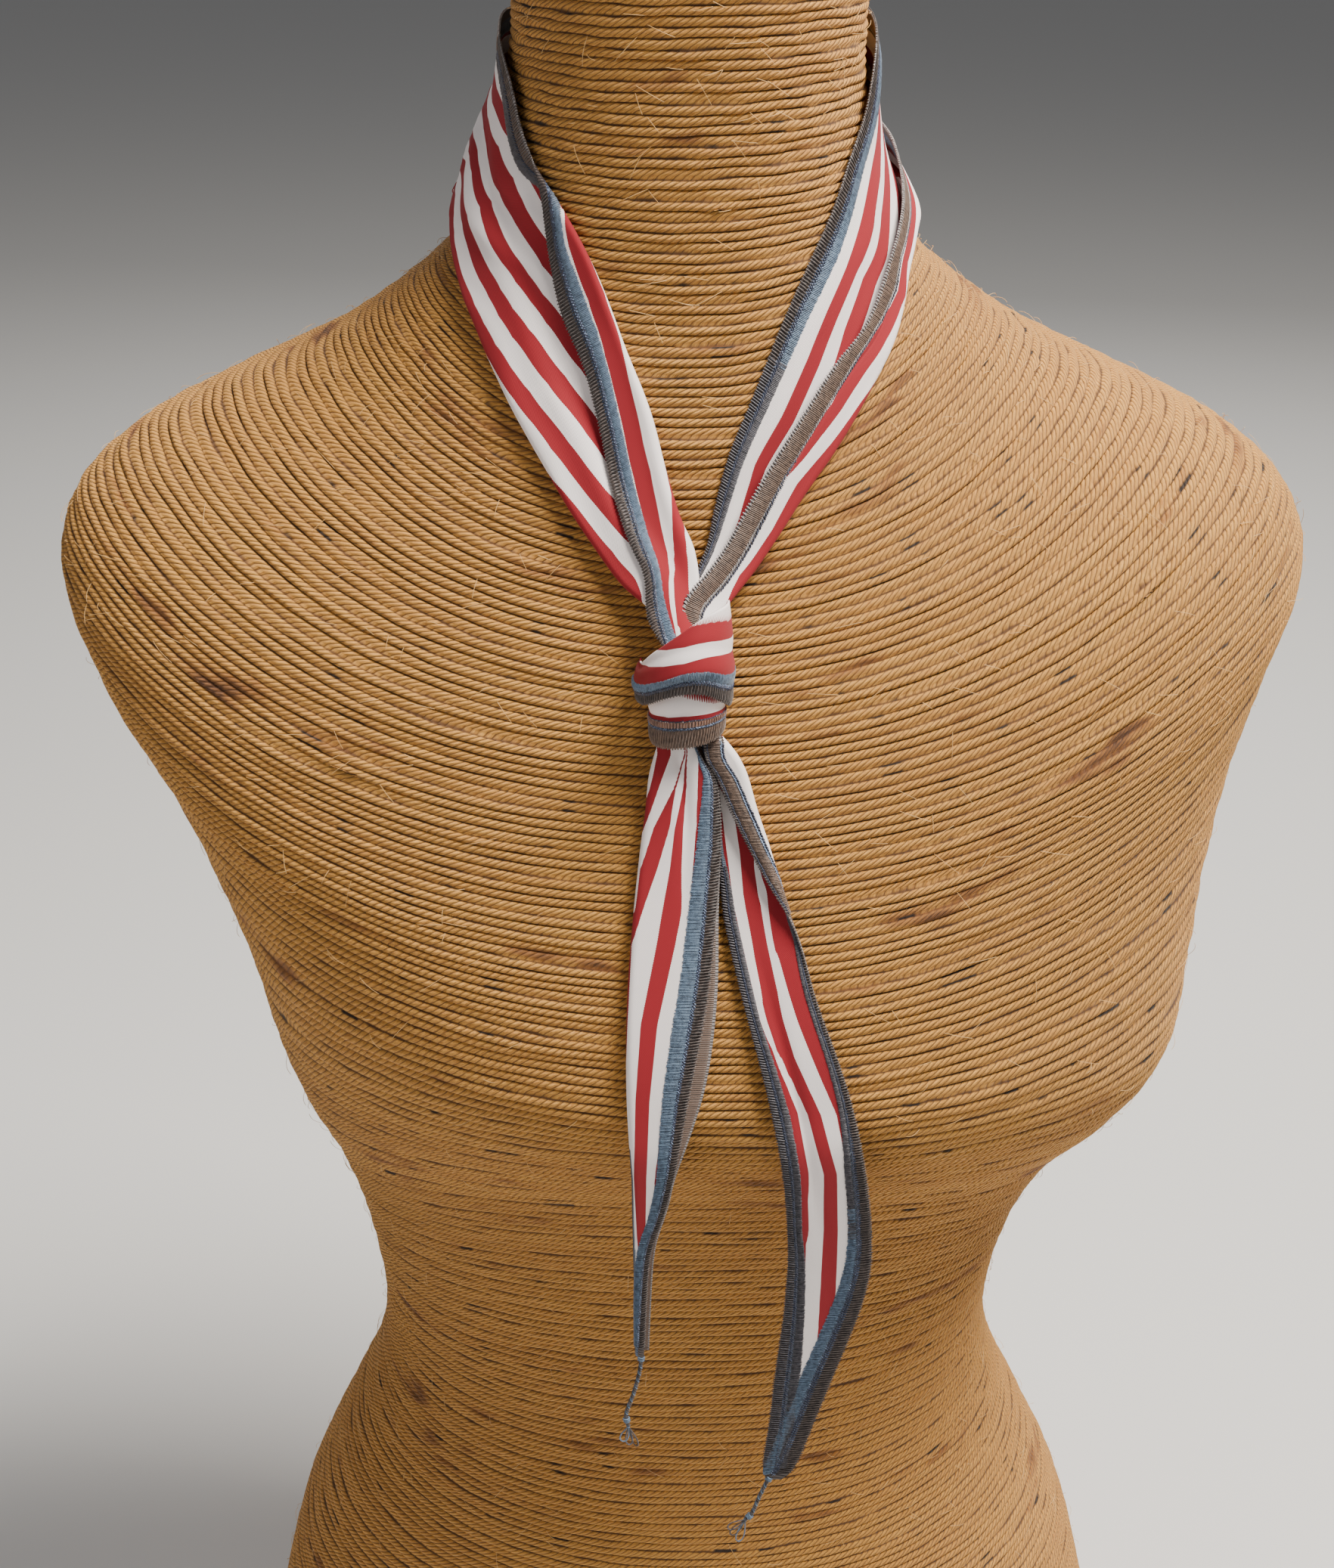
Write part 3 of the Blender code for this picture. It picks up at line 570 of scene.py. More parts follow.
BAND_LINES = (
    (0, -7.8, -3.0, 1.9, 6.7, 11.6, 16.4, 21.3, 26.1, 31.0),
    (2, -4.5, 0.4, 5.2, 10.0, 14.9, 19.8, 24.6, 29.4, 34.3),
    (3, -1.8, 3.0, 7.9, 12.7, 17.6, 22.4, 27.3, 32.1, 37.0),
    (3.5, 1.2, 6.0, 10.9, 15.7, 20.6, 25.5, 30.4, 35.2, 40.0),
    (4, 4.6, 9.4, 14.3, 19.2, 24.2, 29.0, 33.9, 38.6, 43.0),
    (4.5, 7.5, 12.4, 17.3, 22.1, 27.0, 31.9, 36.7, 41.7, 46.4),
    (5, 9.6, 14.5, 19.4, 24.3, 29.2, 34.1, 39.1, 44.3, 49.1),
    (5.5, 10.7, 15.6, 20.5, 25.4, 30.2, 35.1, 40.4, 45.2, 50.0),
    (6, 11.9, 16.9, 21.8, 26.8, 31.5, 36.5, 41.9, 46.8, 51.6),
    (6.5, 15.0, 20.0, 25.0, 30.0, 34.8, 39.8, 45.4, 49.8, 54.7),
    (7, 18.0, 23.0, 28.0, 33.0, 37.7, 43.0, 48.2, 52.8, 57.4),
    (7.5, 19.2, 24.4, 29.5, 34.0, 38.9, 43.9, 48.7, 53.4, 58.0),
    (8, 19.3, 24.6, 29.2, 33.8, 38.4, 43.0, 47.9, 53.0, 58.0),
    (8.5, 16.9, 22.4, 27.7, 31.9, 36.3, 41.0, 45.6, 50.9, 56.0),
    (9, 14.0, 20.0, 25.4, 29.3, 33.6, 38.2, 43.0, 47.4, 52.3),
    (9.5, 11.6, 17.9, 22.8, 26.6, 31.0, 35.4, 40.2, 45.0, 50.0),
    (10, 9.6, 16.3, 20.8, 24.4, 29.2, 33.4, 38.2, 43.0, 48.0),
    (11, 12.3, 19.4, 23.4, 26.0, 30.3, 34.0, 38.5, 43.0, 48.0),
    (11.5, 16.0, 22.0, 25.4, 28.5, 33.0, 37.5, 42.0, 46.5, 51.0),
    (12, 19.8, 24.4, 28.4, 32.6, 37.2, 42.0, 46.8, 51.6, 56.5),
    (13, 22.0, 27.0, 32.0, 37.0, 42.0, 47.0, 52.0, 57.0, 62.0),
)
UPPER_LINES = (
    (13, 2.0, 7.0, 12.0), (18, 4.0, 9.0, 14.0), (23, 5.0, 8.4, 12.0), (24, 5.0, 7.5, 10.4),
    (25, 6.2, 9.0, 12.8), (26, 3.8, 8.0, 13.0), (26.5, 4.2, 8.4, 12.8), (27, 5.5, 8.7, 12.8),
    (27.5, 5.8, 8.5, 12.1), (28, 5.4, 7.5, 11.1), (28.5, 4.8, 6.8, 9.8), (29, 3.5, 5.6, 8.7),
    (30, 3.0, 5.0, 8.9), (31, 2.5, 4.5, 8.0), (31.5, 2.3, 4.3, 7.5), (32, 2.0, 4.0, 8.2),
    (32.5, 1.5, 3.5, 9.5), (34, 1.0, 3.0, 10.0),
)
LOWER_LINES = (
    (0, 11.0, 16.0, 21.0), (20, 10.8, 15.8, 20.0), (24, 10.7, 16.0, 19.1), (25, 10.8, 14.9, 17.6),
    (26, 10.2, 14.3, 17.4), (27, 10.0, 14.1, 18.0), (28, 9.1, 13.0, 17.0), (29, 7.6, 10.6, 14.5),
    (30, 7.3, 10.0, 14.0), (31, 5.5, 8.5, 12.5), (32, 3.5, 7.5, 11.5), (34, 3.0, 7.0, 11.0),
)
UPPER_SERGE = (
    (0, 6.3), (1, 5.4), (1.5, 4.8), (2, 4.6), (2.5, 4.9), (3, 5.4), (3.5, 5.9), (4, 6.1), (5, 6.0),
    (5.5, 6.1), (6, 6.3), (6.5, 7.4), (7, 7.8), (7.5, 7.2), (8, 5.8), (9, 6.0), (9.5, 6.2), (10, 6.4),
    (11, 7.2), (12, 7.0), (13, 6.5), (23, 5.5), (24, 4.4), (25, 6.0), (26, 3.7), (26.5, 4.2),
    (27, 5.4), (28, 5.7), (29, 5.9), (30, 6.2), (31, 6.2), (32, 6.4), (33, 6.0), (34, 5.6),
)
LOWER_SERGE = (
    (0, 6.0), (24, 6.9), (25, 6.9), (26, 6.1), (27, 5.6), (28, 4.8), (29, 4.4), (30, 3.6), (31, 2.3),
    (32, 2.0), (34, 2.0),
)
FLAP_END = 8.6
BAND_END = 13.0

# Soft ridges and creases: from one row to another of the neck table, the length in
# from the cloth's edge at both, how far it stands out, and half its width, in millimetres.
BAND_CREASES = (
    (0.5, 6.0, 30, 36, 0.9, 4.0), (2.0, 9.5, 43, 50, 0.7, 3.0), (5.5, 13.5, 27, 31, 1.1, 3.5),
    (8.0, 12.5, 14, 17, 0.8, 3.0), (10.5, 17.0, 40, 33, 1.3, 3.2), (11.5, 15.5, 21, 24, 0.9, 2.4),
    (14.5, 19.5, 16, 22, 1.2, 3.0), (17.0, 22.5, 27, 19, 0.9, 2.6), (20.0, 24.5, 9, 12, 0.8, 2.5),
    (24.0, 30.5, 9, 7, 0.9, 3.0),
)
LOWER_CREASES = (
    (24.2, 29.5, 7.5, 8.5, 1.5, 3.0), (22.0, 26.5, 16, 12, 0.8, 2.6), (27.5, 33.0, 6, 4, 1.0, 2.4),
    (15.0, 20.0, 14, 20, 0.9, 3.0), (18.5, 23.0, 8, 5, 1.2, 2.6), (11.0, 15.0, 9, 13, 0.7, 2.5),
)
EDGE_CREASES = (
    (22.5, 34.0, 0, 1, 1.9, 5.5), (12.8, 22.0, 0, 1, 0.8, 5.0), (8.8, 12.8, 1, 0, 0.5, 3.0),
)
FLAP_CREASES = (
    (1.0, 4.5, 12, 15, 0.7, 2.5), (3.0, 8.5, 13.5, 14.5, 0.8, 2.6), (5.0, 8.8, 4, 5, 0.4, 2.0),
)


def read_lines(rows, positions):
    """The columns of a table of lines at the wanted rows of the neck table."""
    table = np.array(rows, float)
    return np.stack([np.interp(positions, table[:, 0], column) for column in table.T[1:]], -1)


def stripe_pairs(lines, lengths, first_pair):
    """Stripe pairs at each length, read between its row's lines, which are half a pair apart."""
    pairs = np.empty(lengths.shape)
    steps = first_pair + 0.5 * np.arange(lines.shape[1])
    steps = np.concatenate(([steps[0] - 10], steps, [steps[-1] + 10]))
    for i, row in enumerate(lines):
        ends = np.concatenate(([row[0] - 10 * STRIPE_PAIR], row, [row[-1] + 10 * STRIPE_PAIR]))
        pairs[i] = np.interp(lengths[i], ends, steps)
    return pairs


def smooth_step(value):
    """0 below 0, 1 above 1 and an even ease between them."""
    value = np.clip(value, 0, 1)
    return value * value * (3 - 2 * value)


def read_row(columns, rows, position):
    """The columns of a table at a fractional row, by name."""
    table = np.array(rows, float).T
    return {name: float(smooth_column(column, position)) for name, column in zip(columns, table)}


def fold_lengths(under, upper, flat, bend, turn):
    """Lengths along the folded cloth where its section has a point, closer round the folds."""
    total = under + upper
    first_fold = min(under, total - min(OUTER_FOLD_ROOM, total / 2))
    first_end = first_fold + min(math.pi * bend, (total - first_fold) / 2)
    second_fold = min(first_end + flat, total - min(INNER_FOLD_ROOM, (total - first_end) / 2))
    second_end = second_fold + min(math.pi * turn, INNER_FOLD_SHARE * (total - second_fold))
    limits = (0, first_fold, first_end, second_fold, second_end, total)
    spans = [np.linspace(start, end, count, endpoint=False)
             for start, end, count in zip(limits, limits[1:], SECTION_POINTS)]
    return np.concatenate(spans + [[total]])


def folded_section(width, under, upper, bend, turn):
    """A folded strap's section: lengths along the cloth, and places across it and above its bed."""
    flat = width - bend - turn
    under_end = width - bend - under
    lengths = fold_lengths(under, upper, flat, bend, turn)

    def bed(across):
        return 2 * bend * smooth_step((across - under_end + RISE_AHEAD) / RISE_LENGTH)

    past_fold = lengths - under
    past_arc = past_fold - math.pi * bend
    past_flat = past_arc - flat
    past_turn = past_flat - math.pi * turn
    on_arc = past_fold / bend
    on_turn = past_flat / turn
    cases = [past_fold <= 0, past_arc <= 0, past_flat <= 0, past_turn <= 0]
    across = np.select(cases, [
        under_end + lengths, width - bend + bend * np.sin(on_arc), width - bend - past_arc,
        turn - turn * np.sin(on_turn)], turn + past_turn)
    height = np.select(cases, [
        0 * lengths, bend * (1 - np.cos(on_arc)), bed(across),
        bed(turn) + turn * (1 - np.cos(on_turn))], bed(across) + 2 * turn)
    return lengths, across, height


def laid_ground(tree, middle, outer, width):
    """The form's surface under a strap: distances from its middle, points, and ways out."""
    found = []
    for side in (-1, 1):
        here, normal, _, _ = tree.find_nearest(middle)
        heading = outer * side
        line = [(0.0, here, normal)]
        step = (width / 2 + 3) / WALK_STEPS
        for count in range(WALK_STEPS):
            after, normal, _, _ = tree.find_nearest(here + heading * step)
            heading = (after - here).normalized()
            here = after
            line.append((side * step * (count + 1), here, normal))
        found += line[1:] if side > 0 else line[::-1]
    distances = np.array([spot[0] for spot in found])
    points = np.array([spot[1] for spot in found])
    ways = np.array([spot[2] for spot in found])
    return distances, points, ways


def read_between(distances, values, wanted):
    """Vectors read at the wanted distances along a line of them."""
    return np.stack([np.interp(wanted, distances, values[:, axis]) for axis in range(3)], -1)


def smoothed_along(values, passes):
    """Rows of values averaged with their neighbours, the first and the last row kept."""
    for _ in range(passes):
        values[1:-1] = (values[:-2] + 2 * values[1:-1] + values[2:]) / 4
    return values


def woven_group():
    """Plain weave in red and white: a pair of stripes for each unit of U."""
    group = bpy.data.node_groups.new("striped weave", "ShaderNodeTree")
    group.interface.new_socket("Cloth", in_out="INPUT", socket_type="NodeSocketVector")
    group.interface.new_socket("Colour", in_out="OUTPUT", socket_type="NodeSocketColor")
    group.interface.new_socket("Height", in_out="OUTPUT", socket_type="NodeSocketFloat")
    start = group.nodes.new("NodeGroupInput")
    end = group.nodes.new("NodeGroupOutput")
    split = add_node(group, "ShaderNodeSeparateXYZ", {"Vector": start.outputs["Cloth"]})
    across, along = split.outputs["X"], split.outputs["Y"]
    step = maths(group, "PINGPONG", maths(group, "MULTIPLY", along, YARN_STEPS_PER_PAIR), 1.0)
    across_step = maths(group, "ADD", across, maths(group, "MULTIPLY", step, 0.012))
    share = maths(group, "FRACT", across_step)
    red = maths(group, "MULTIPLY", eased(group, share, 0.0, 0.008), eased(group, share, 0.508, 0.50))
    warp = maths(group, "SINE", maths(group, "MULTIPLY", across, 2 * math.pi * YARNS_PER_PAIR))
    weft = maths(group, "SINE", maths(group, "MULTIPLY", along, 2 * math.pi * YARNS_PER_PAIR))
    crossing = maths(group, "MULTIPLY", warp, weft)
    weave = maths(group, "ADD", maths(group, "MULTIPLY", crossing, 0.5), 0.5)
    slub = noise_value(group, add_node(group, "ShaderNodeMapping", {
        "Vector": start.outputs["Cloth"], "Scale": (YARNS_PER_PAIR, 3, 1)}).outputs[0], 1.0, 3.0, 0.6)
    shade = noise_value(group, start.outputs["Cloth"], 0.6, 2.0)
    # Painted shade: the red and the white yarn are darker in the weave's hollows and lighter where it
    # rises.
    red_yarn = mixed(group, weave, (0.18, 0.0015, 0.006, 1), (0.39, 0.008, 0.018, 1))
    red_yarn = mixed(group, maths(group, "MULTIPLY", slub, 0.5), red_yarn, (0.29, 0.005, 0.014, 1))
    # The white yarn's pink tint is partly its own warm off-white and partly a painted reflection of the
    # red stripes.
    white_yarn = mixed(group, weave, (0.90, 0.81, 0.79, 1), (0.98, 0.91, 0.895, 1))
    white_yarn = mixed(group, maths(group, "MULTIPLY", shade, 0.25), white_yarn, (0.80, 0.74, 0.72, 1))
    colour = mixed(group, red, white_yarn, red_yarn)
    height = maths(group, "ADD", weave, maths(group, "MULTIPLY", slub, 0.6))
    group.links.new(colour, end.inputs["Colour"])
    group.links.new(height, end.inputs["Height"])
    return group


def overlock_group(name, zones, threads):
    """Overlock stitching over the weave: bands of thread from the cloth's edge inwards.

    zones gives each band's end as a share of the stitching's width, its dark and light colours,
    how many threads it has to the centimetre, and how far they slant. Each thread is painted in the
    light colour along its middle and the dark one at its sides: painted shade between the threads.
    """
    group = bpy.data.node_groups.new(name, "ShaderNodeTree")
    group.interface.new_socket("Cloth", in_out="INPUT", socket_type="NodeSocketVector")
    group.interface.new_socket("Edge", in_out="INPUT", socket_type="NodeSocketFloat")
    group.interface.new_socket("Colour", in_out="OUTPUT", socket_type="NodeSocketColor")
    group.interface.new_socket("Height", in_out="OUTPUT", socket_type="NodeSocketFloat")
    group.interface.new_socket("Mask", in_out="OUTPUT", socket_type="NodeSocketFloat")
    start = group.nodes.new("NodeGroupInput")
    end = group.nodes.new("NodeGroupOutput")
    edge = start.outputs["Edge"]
    along = add_node(group, "ShaderNodeSeparateXYZ", {"Vector": start.outputs["Cloth"]}).outputs["Y"]
    uneven = noise_value(group, joined_vector(group, 0.0, maths(group, "MULTIPLY", along, 2.0)), 1.0)
    colour, height = None, None
    for limit, dark, light, count, slant in zones:
        run = maths(group, "ADD", maths(group, "MULTIPLY", along, count),
                    maths(group, "MULTIPLY", edge, slant))
        run = maths(group, "ADD", run, maths(group, "MULTIPLY", uneven, 1.5))
        share = maths(group, "FRACT", run)
        bulge = maths(group, "MULTIPLY", maths(group, "MULTIPLY", share,
                                               maths(group, "SUBTRACT", 1.0, share)), 4.0)
        each = add_node(group, "ShaderNodeTexWhiteNoise", {"W": maths(group, "FLOOR", run)},
                        noise_dimensions="1D").outputs["Value"]
        # Painted shade: each thread runs from the light colour along its middle to the dark one at its
        # sides, with a random tone of its own.
        level = maths(group, "MULTIPLY", eased(group, bulge, 0.15, 0.8),
                      maths(group, "ADD", maths(group, "MULTIPLY", each, 0.35), 0.65))
        zone_colour = mixed(group, level, dark, light)
        if colour is None:
            colour, height = zone_colour, bulge
        else:
            inside = maths(group, "GREATER_THAN", edge, before)
            colour = mixed(group, inside, colour, zone_colour)
            height = add_node(group, "ShaderNodeMix", {0: inside, 2: height, 3: bulge}).outputs[0]
        before = limit
    comb = maths(group, "PINGPONG", maths(group, "MULTIPLY", along, threads), 1.0)
    reach = maths(group, "ADD", 0.93, maths(group, "MULTIPLY", comb, 0.08))
    mask = maths(group, "LESS_THAN", edge, reach)
    group.links.new(colour, end.inputs["Colour"])
    group.links.new(height, end.inputs["Height"])
    group.links.new(mask, end.inputs["Mask"])
    return group


def cotton_material(name, weave, stitching):
    """Striped cotton with overlock stitching on the side that this material is for."""
    material = bpy.data.materials.new(name)
    material.use_nodes = True
    tree = material.node_tree
    shader = tree.nodes["Principled BSDF"]
    cloth = add_node(tree, "ShaderNodeUVMap", uv_map="cloth").outputs[0]
    edge_map = add_node(tree, "ShaderNodeUVMap", uv_map="edge").outputs[0]
    edge = add_node(tree, "ShaderNodeSeparateXYZ", {"Vector": edge_map}).outputs["X"]
    woven = add_node(tree, "ShaderNodeGroup", node_tree=weave)
    tree.links.new(cloth, woven.inputs["Cloth"])
    sewn = add_node(tree, "ShaderNodeGroup", node_tree=stitching)
    tree.links.new(cloth, sewn.inputs["Cloth"])
    tree.links.new(edge, sewn.inputs["Edge"])
    mask = sewn.outputs["Mask"]
    colour = mixed(tree, mask, woven.outputs["Colour"], sewn.outputs["Colour"])
    rough = add_node(tree, "ShaderNodeMix", {0: mask, 2: 0.85, 3: 0.55}).outputs[0]
    low = maths(tree, "MULTIPLY", woven.outputs["Height"], 0.22)
    high = maths(tree, "ADD", maths(tree, "MULTIPLY", sewn.outputs["Height"], 0.9), 0.6)
    height = add_node(tree, "ShaderNodeMix", {0: mask, 2: low, 3: high}).outputs[0]
    bump = add_node(tree, "ShaderNodeBump", {"Height": height, "Strength": 0.7, "Distance": 0.0003})
    tree.links.new(colour, shader.inputs["Base Color"])
    tree.links.new(rough, shader.inputs["Roughness"])
    tree.links.new(bump.outputs[0], shader.inputs["Normal"])
    shader.inputs["Sheen Weight"].default_value = 0.05
    shader.inputs["Sheen Roughness"].default_value = 0.5
    return material


# In each overlock zone the first, darker colour is painted shade at the sides of the threads and
# between them; the second is the thread's own colour.
NAVY = (0.008, 0.009, 0.018, 1)
BEAD_BLUE = (0.08, 0.12, 0.22, 1)
HATCH_DARK = (0.010, 0.008, 0.010, 1)
HATCH_LIGHT = (0.075, 0.052, 0.045, 1)
SATIN_DARK = (0.045, 0.060, 0.085, 1)
SATIN_LIGHT = (0.16, 0.21, 0.28, 1)
BROWN_DARK = (0.055, 0.032, 0.022, 1)
BROWN_LIGHT = (0.20, 0.125, 0.090, 1)
GREY_LIGHT = (0.30, 0.28, 0.28, 1)
FACE_ZONES = ((0.40, HATCH_DARK, HATCH_LIGHT, 11.0, 1.6), (0.52, NAVY, BEAD_BLUE, 11.0, 0.0),
              (1.10, SATIN_DARK, SATIN_LIGHT, 21.0, 0.5))
BACK_ZONES = ((0.10, BROWN_DARK, GREY_LIGHT, 12.0, 0.0), (0.72, BROWN_DARK, BROWN_LIGHT, 19.0, 0.3),
              (0.84, NAVY, GREY_LIGHT, 12.0, 0.0), (1.10, HATCH_DARK, HATCH_LIGHT, 19.0, 0.0))

weave_nodes = woven_group()
face_cotton = cotton_material("cotton face", weave_nodes,
                              overlock_group("overlock face", FACE_ZONES, 42.0))
back_cotton = cotton_material("cotton reverse", weave_nodes,
                              overlock_group("overlock reverse", BACK_ZONES, 38.0))


def add_cloth(name, places, maps, nodes):
    """A thin cloth shell through places, its face on the side of the grid's normals."""
    piece = add_piece(name, sheet_mesh(name, places, maps), "striped_cotton", face_cotton, back_cotton)
    wall = piece.modifiers.new("wall", "SOLIDIFY")
    wall.thickness = CLOTH_THICK * MM
    wall.offset = 0
    wall.material_offset = 1
    wall.material_offset_rim = 1
    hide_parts(*nodes)
    return piece


# The overlock threads themselves, one mesh on each piece of cloth. Each kind of thread has its
# reach in from the cloth's edge, as shares of the stitching's width, its slant along the edge, the
# way from one to the next, and its half thickness, in millimetres.
STITCH_COLUMNS = ("start", "end", "slant", "pitch", "radius", "colour", "shift")
FACE_STITCHES = (
    (-0.05, 0.47, 0.60, 0.92, 0.19, "hatch", 0.0),
    (0.46, 0.60, 0.95, 0.84, 0.26, "navy", 0.0),
    (0.61, 0.47, 0.80, 0.84, 0.16, "blue", 0.45),
    (0.63, 1.00, 0.20, 0.44, 0.20, "satin", 0.0),
)
EDGE_STITCHES = (
    (-0.05, 0.48, 0.40, 0.80, 0.20, "slate", 0.0),
    (0.47, 0.58, 0.95, 0.82, 0.24, "navy", 0.0),
    (0.60, 1.00, 0.20, 0.43, 0.20, "slate", 0.0),
)
# Darker threads for stitching that lies in shadow: painted shade, with slate where lit stitching shows
# light blue satin.
SHADE_STITCHES = (
    (-0.05, 0.50, 0.45, 0.80, 0.20, "hatch", 0.0),
    (0.50, 0.62, 0.95, 0.82, 0.23, "navy", 0.0),
    (0.64, 1.00, 0.20, 0.43, 0.20, "slate", 0.0),
)
BACK_STITCHES = (
    (0.10, 0.78, 0.30, 0.50, 0.23, "brown", 0.0),
    (-0.05, 0.14, 0.35, 1.00, 0.22, "grey", 0.0),
    (0.80, 0.86, 0.95, 0.95, 0.20, "grey", 0.0),
    (0.90, 0.96, 0.95, 0.95, 0.20, "navy", 0.4),
)
THREAD_COLOURS = {
    "hatch": ((0.011, 0.009, 0.010, 1), (0.112, 0.086, 0.076, 1)),
    "slate": ((0.021, 0.020, 0.027, 1), (0.120, 0.112, 0.128, 1)),
    "navy": ((0.006, 0.007, 0.018, 1), (0.035, 0.045, 0.090, 1)),
    "blue": ((0.10, 0.16, 0.30, 1), (0.34, 0.44, 0.62, 1)),
    "satin": ((0.045, 0.072, 0.115, 1), (0.165, 0.245, 0.35, 1)),
    "brown": ((0.055, 0.032, 0.023, 1), (0.205, 0.132, 0.094, 1)),
    "grey": ((0.15, 0.13, 0.13, 1), (0.42, 0.38, 0.36, 1)),
    "rust": ((0.16, 0.075, 0.055, 1), (0.36, 0.21, 0.16, 1)),
}
SHARE_LOW = -0.06
SHARE_HIGH = 1.06
SHARE_STEPS = 28
THREAD_POINTS = 5
THREAD_LIFT = 0.28
EDGE_SPAN = 1.0


def thread_material(name, dark, light):
    """Sewing thread: dark in its twist and uneven from thread to thread, with a soft shine."""
    material = bpy.data.materials.new(name + " thread")
    material.use_nodes = True
    tree = material.node_tree
    shader = tree.nodes["Principled BSDF"]
    place = add_node(tree, "ShaderNodeTexCoord").outputs["Object"]
    patches = noise_value(tree, place, 900.0, 2.0)
    strands = noise_value(tree, place, 5200.0, 1.0)
    level = maths(tree, "ADD", maths(tree, "MULTIPLY", eased(tree, patches, 0.30, 0.62), 0.6),
                  maths(tree, "MULTIPLY", eased(tree, strands, 0.35, 0.65), 0.4))
    bump = add_node(tree, "ShaderNodeBump", {"Height": strands, "Strength": 0.5, "Distance": 0.0001})
    tree.links.new(mixed(tree, level, dark, light), shader.inputs["Base Color"])
    tree.links.new(bump.outputs[0], shader.inputs["Normal"])
    shader.inputs["Roughness"].default_value = 0.5
    shader.inputs["Sheen Weight"].default_value = 0.2
    return material


thread_numbers = {name: number for number, name in enumerate(THREAD_COLOURS)}
thread_materials = [thread_material(name, *ends) for name, ends in THREAD_COLOURS.items()]


def stitch_track(places, from_edge, widths, side):
    """Places and ways out over an edge's stitching: a row for each of the cloth's, a column a share."""
    normals = sheet_normals(places) * side
    wanted = np.linspace(SHARE_LOW, SHARE_HIGH, SHARE_STEPS + 1)[None, :] * widths[:, None]
    spots, ways = [], []
    for row, lengths, normal, inward in zip(places, from_edge, normals, wanted):
        order = np.argsort(lengths)
        rim, inner = read_between(lengths[order], row[order], np.array((0.0, EDGE_SPAN)))
        past = np.maximum(-inward, 0)[:, None] * (rim - inner) / max(np.linalg.norm(rim - inner), 1e-6)
        spots.append(read_between(lengths[order], row[order], inward) + past)
        ways.append(read_between(lengths[order], normal[order], inward))
    spots, ways = smoothed_along(np.array(spots), 1), smoothed_along(np.array(ways), 2)
    ways /= np.maximum(np.linalg.norm(ways, axis=2, keepdims=True), 1e-9)
    middle = spots[:, SHARE_STEPS // 2]
    along = np.concatenate(([0], np.cumsum(np.linalg.norm(np.diff(middle, axis=0), axis=1))))
    return spots, ways, along


def read_track(values, rows, columns):
    """Values of a track between its rows and columns."""
    row = np.clip(np.floor(rows).astype(int), 0, len(values) - 2)
    column = np.clip(np.floor(columns).astype(int), 0, values.shape[1] - 2)
    r, c = (rows - row)[..., None], (columns - column)[..., None]
    near = values[row, column] * (1 - c) + values[row, column + 1] * c
    far = values[row + 1, column] * (1 - c) + values[row + 1, column + 1] * c
    return near * (1 - r) + far * r


def stitch_lines(track, kind, seed):
    """The points of every thread of a kind along a track, with its radius and colour."""
    spots, ways, along = track
    kind = dict(zip(STITCH_COLUMNS, kind))
    chance = np.random.RandomState(seed)
    starts = np.arange(0.3 + kind["shift"], along[-1] - kind["slant"] - 0.3, kind["pitch"])
    loose = chance.uniform(-1, 1, (len(starts), 4))
    go = np.linspace(0, 1, THREAD_POINTS)[None, :]
    low = kind["start"] + 0.015 * loose[:, :1]
    high = kind["end"] + 0.025 * loose[:, 1:2]
    shares = low + (high - low) * go
    ahead = starts[:, None] + 0.10 * kind["pitch"] * loose[:, 2:3] + kind["slant"] * go
    rows = np.interp(ahead, along, np.arange(len(along)))
    columns = (shares - SHARE_LOW) / (SHARE_HIGH - SHARE_LOW) * SHARE_STEPS
    lift = THREAD_LIFT + 0.04 * loose[:, 3:4] + kind["radius"] * (0.5 - 0.9 * (2 * go - 1)**6)
    lift = lift * smooth_step((shares + 0.05) / 0.06)
    points = read_track(spots, rows, columns) + read_track(ways, rows, columns) * lift[..., None]
    return points, kind["radius"], kind["colour"]


def add_threads(name, bunches):
    """Sewing threads as one mesh; each of bunches has lines of points, a radius and a colour's name."""
    numbered = [(lines, radius, thread_numbers[colour]) for lines, radius, colour in bunches]
    return add_piece(name, tube_mesh(name, numbered, thread_materials), "overlock_thread")


def creased(places, lengths, positions, creases, outward):
    """Places with soft ridges and creases, each along a line from one row and length to another."""
    push = np.zeros(lengths.shape)
    for first, last, at_first, at_last, depth, width in creases:
        share = (positions - first) / (last - first)
        fade = np.sin(math.pi * np.clip(share, 0, 1)) ** 0.7
        middle = at_first + (at_last - at_first) * share
        push += depth * fade[:, None] * np.exp(-((lengths - middle[:, None]) / width) ** 2)
    return places + sheet_normals(places) * (push * outward)[..., None]


# The form's bare surface, to lay the cloth on.
laying_turns = np.linspace(0, 2 * math.pi, LAYING_TURNS + 1)[:-1]
laying_rings = np.linspace(0, form_last, LAYING_RINGS)
laying_points = form_points(laying_rings[:, None], laying_turns[None, :])
laying_quads = []
for near in range(0, (LAYING_RINGS - 1) * LAYING_TURNS, LAYING_TURNS):
    far = near + LAYING_TURNS
    for side in range(LAYING_TURNS):
        after = (side + 1) % LAYING_TURNS
        laying_quads.append((near + side, far + side, far + after, near + after))
form_tree = BVHTree.FromPolygons(laying_points.reshape(-1, 3).tolist(), laying_quads)


def neck_middle(row):
    """The strap's middle on the form's surface, and the way out of it."""
    turn = math.radians(row["angle"])
    out = Vector((-math.sin(turn), -math.cos(turn), 0))
    point, normal, _, _ = form_tree.ray_cast(out * FAR_OUT + Vector((0, 0, row["height"])), -out)
    return point, normal


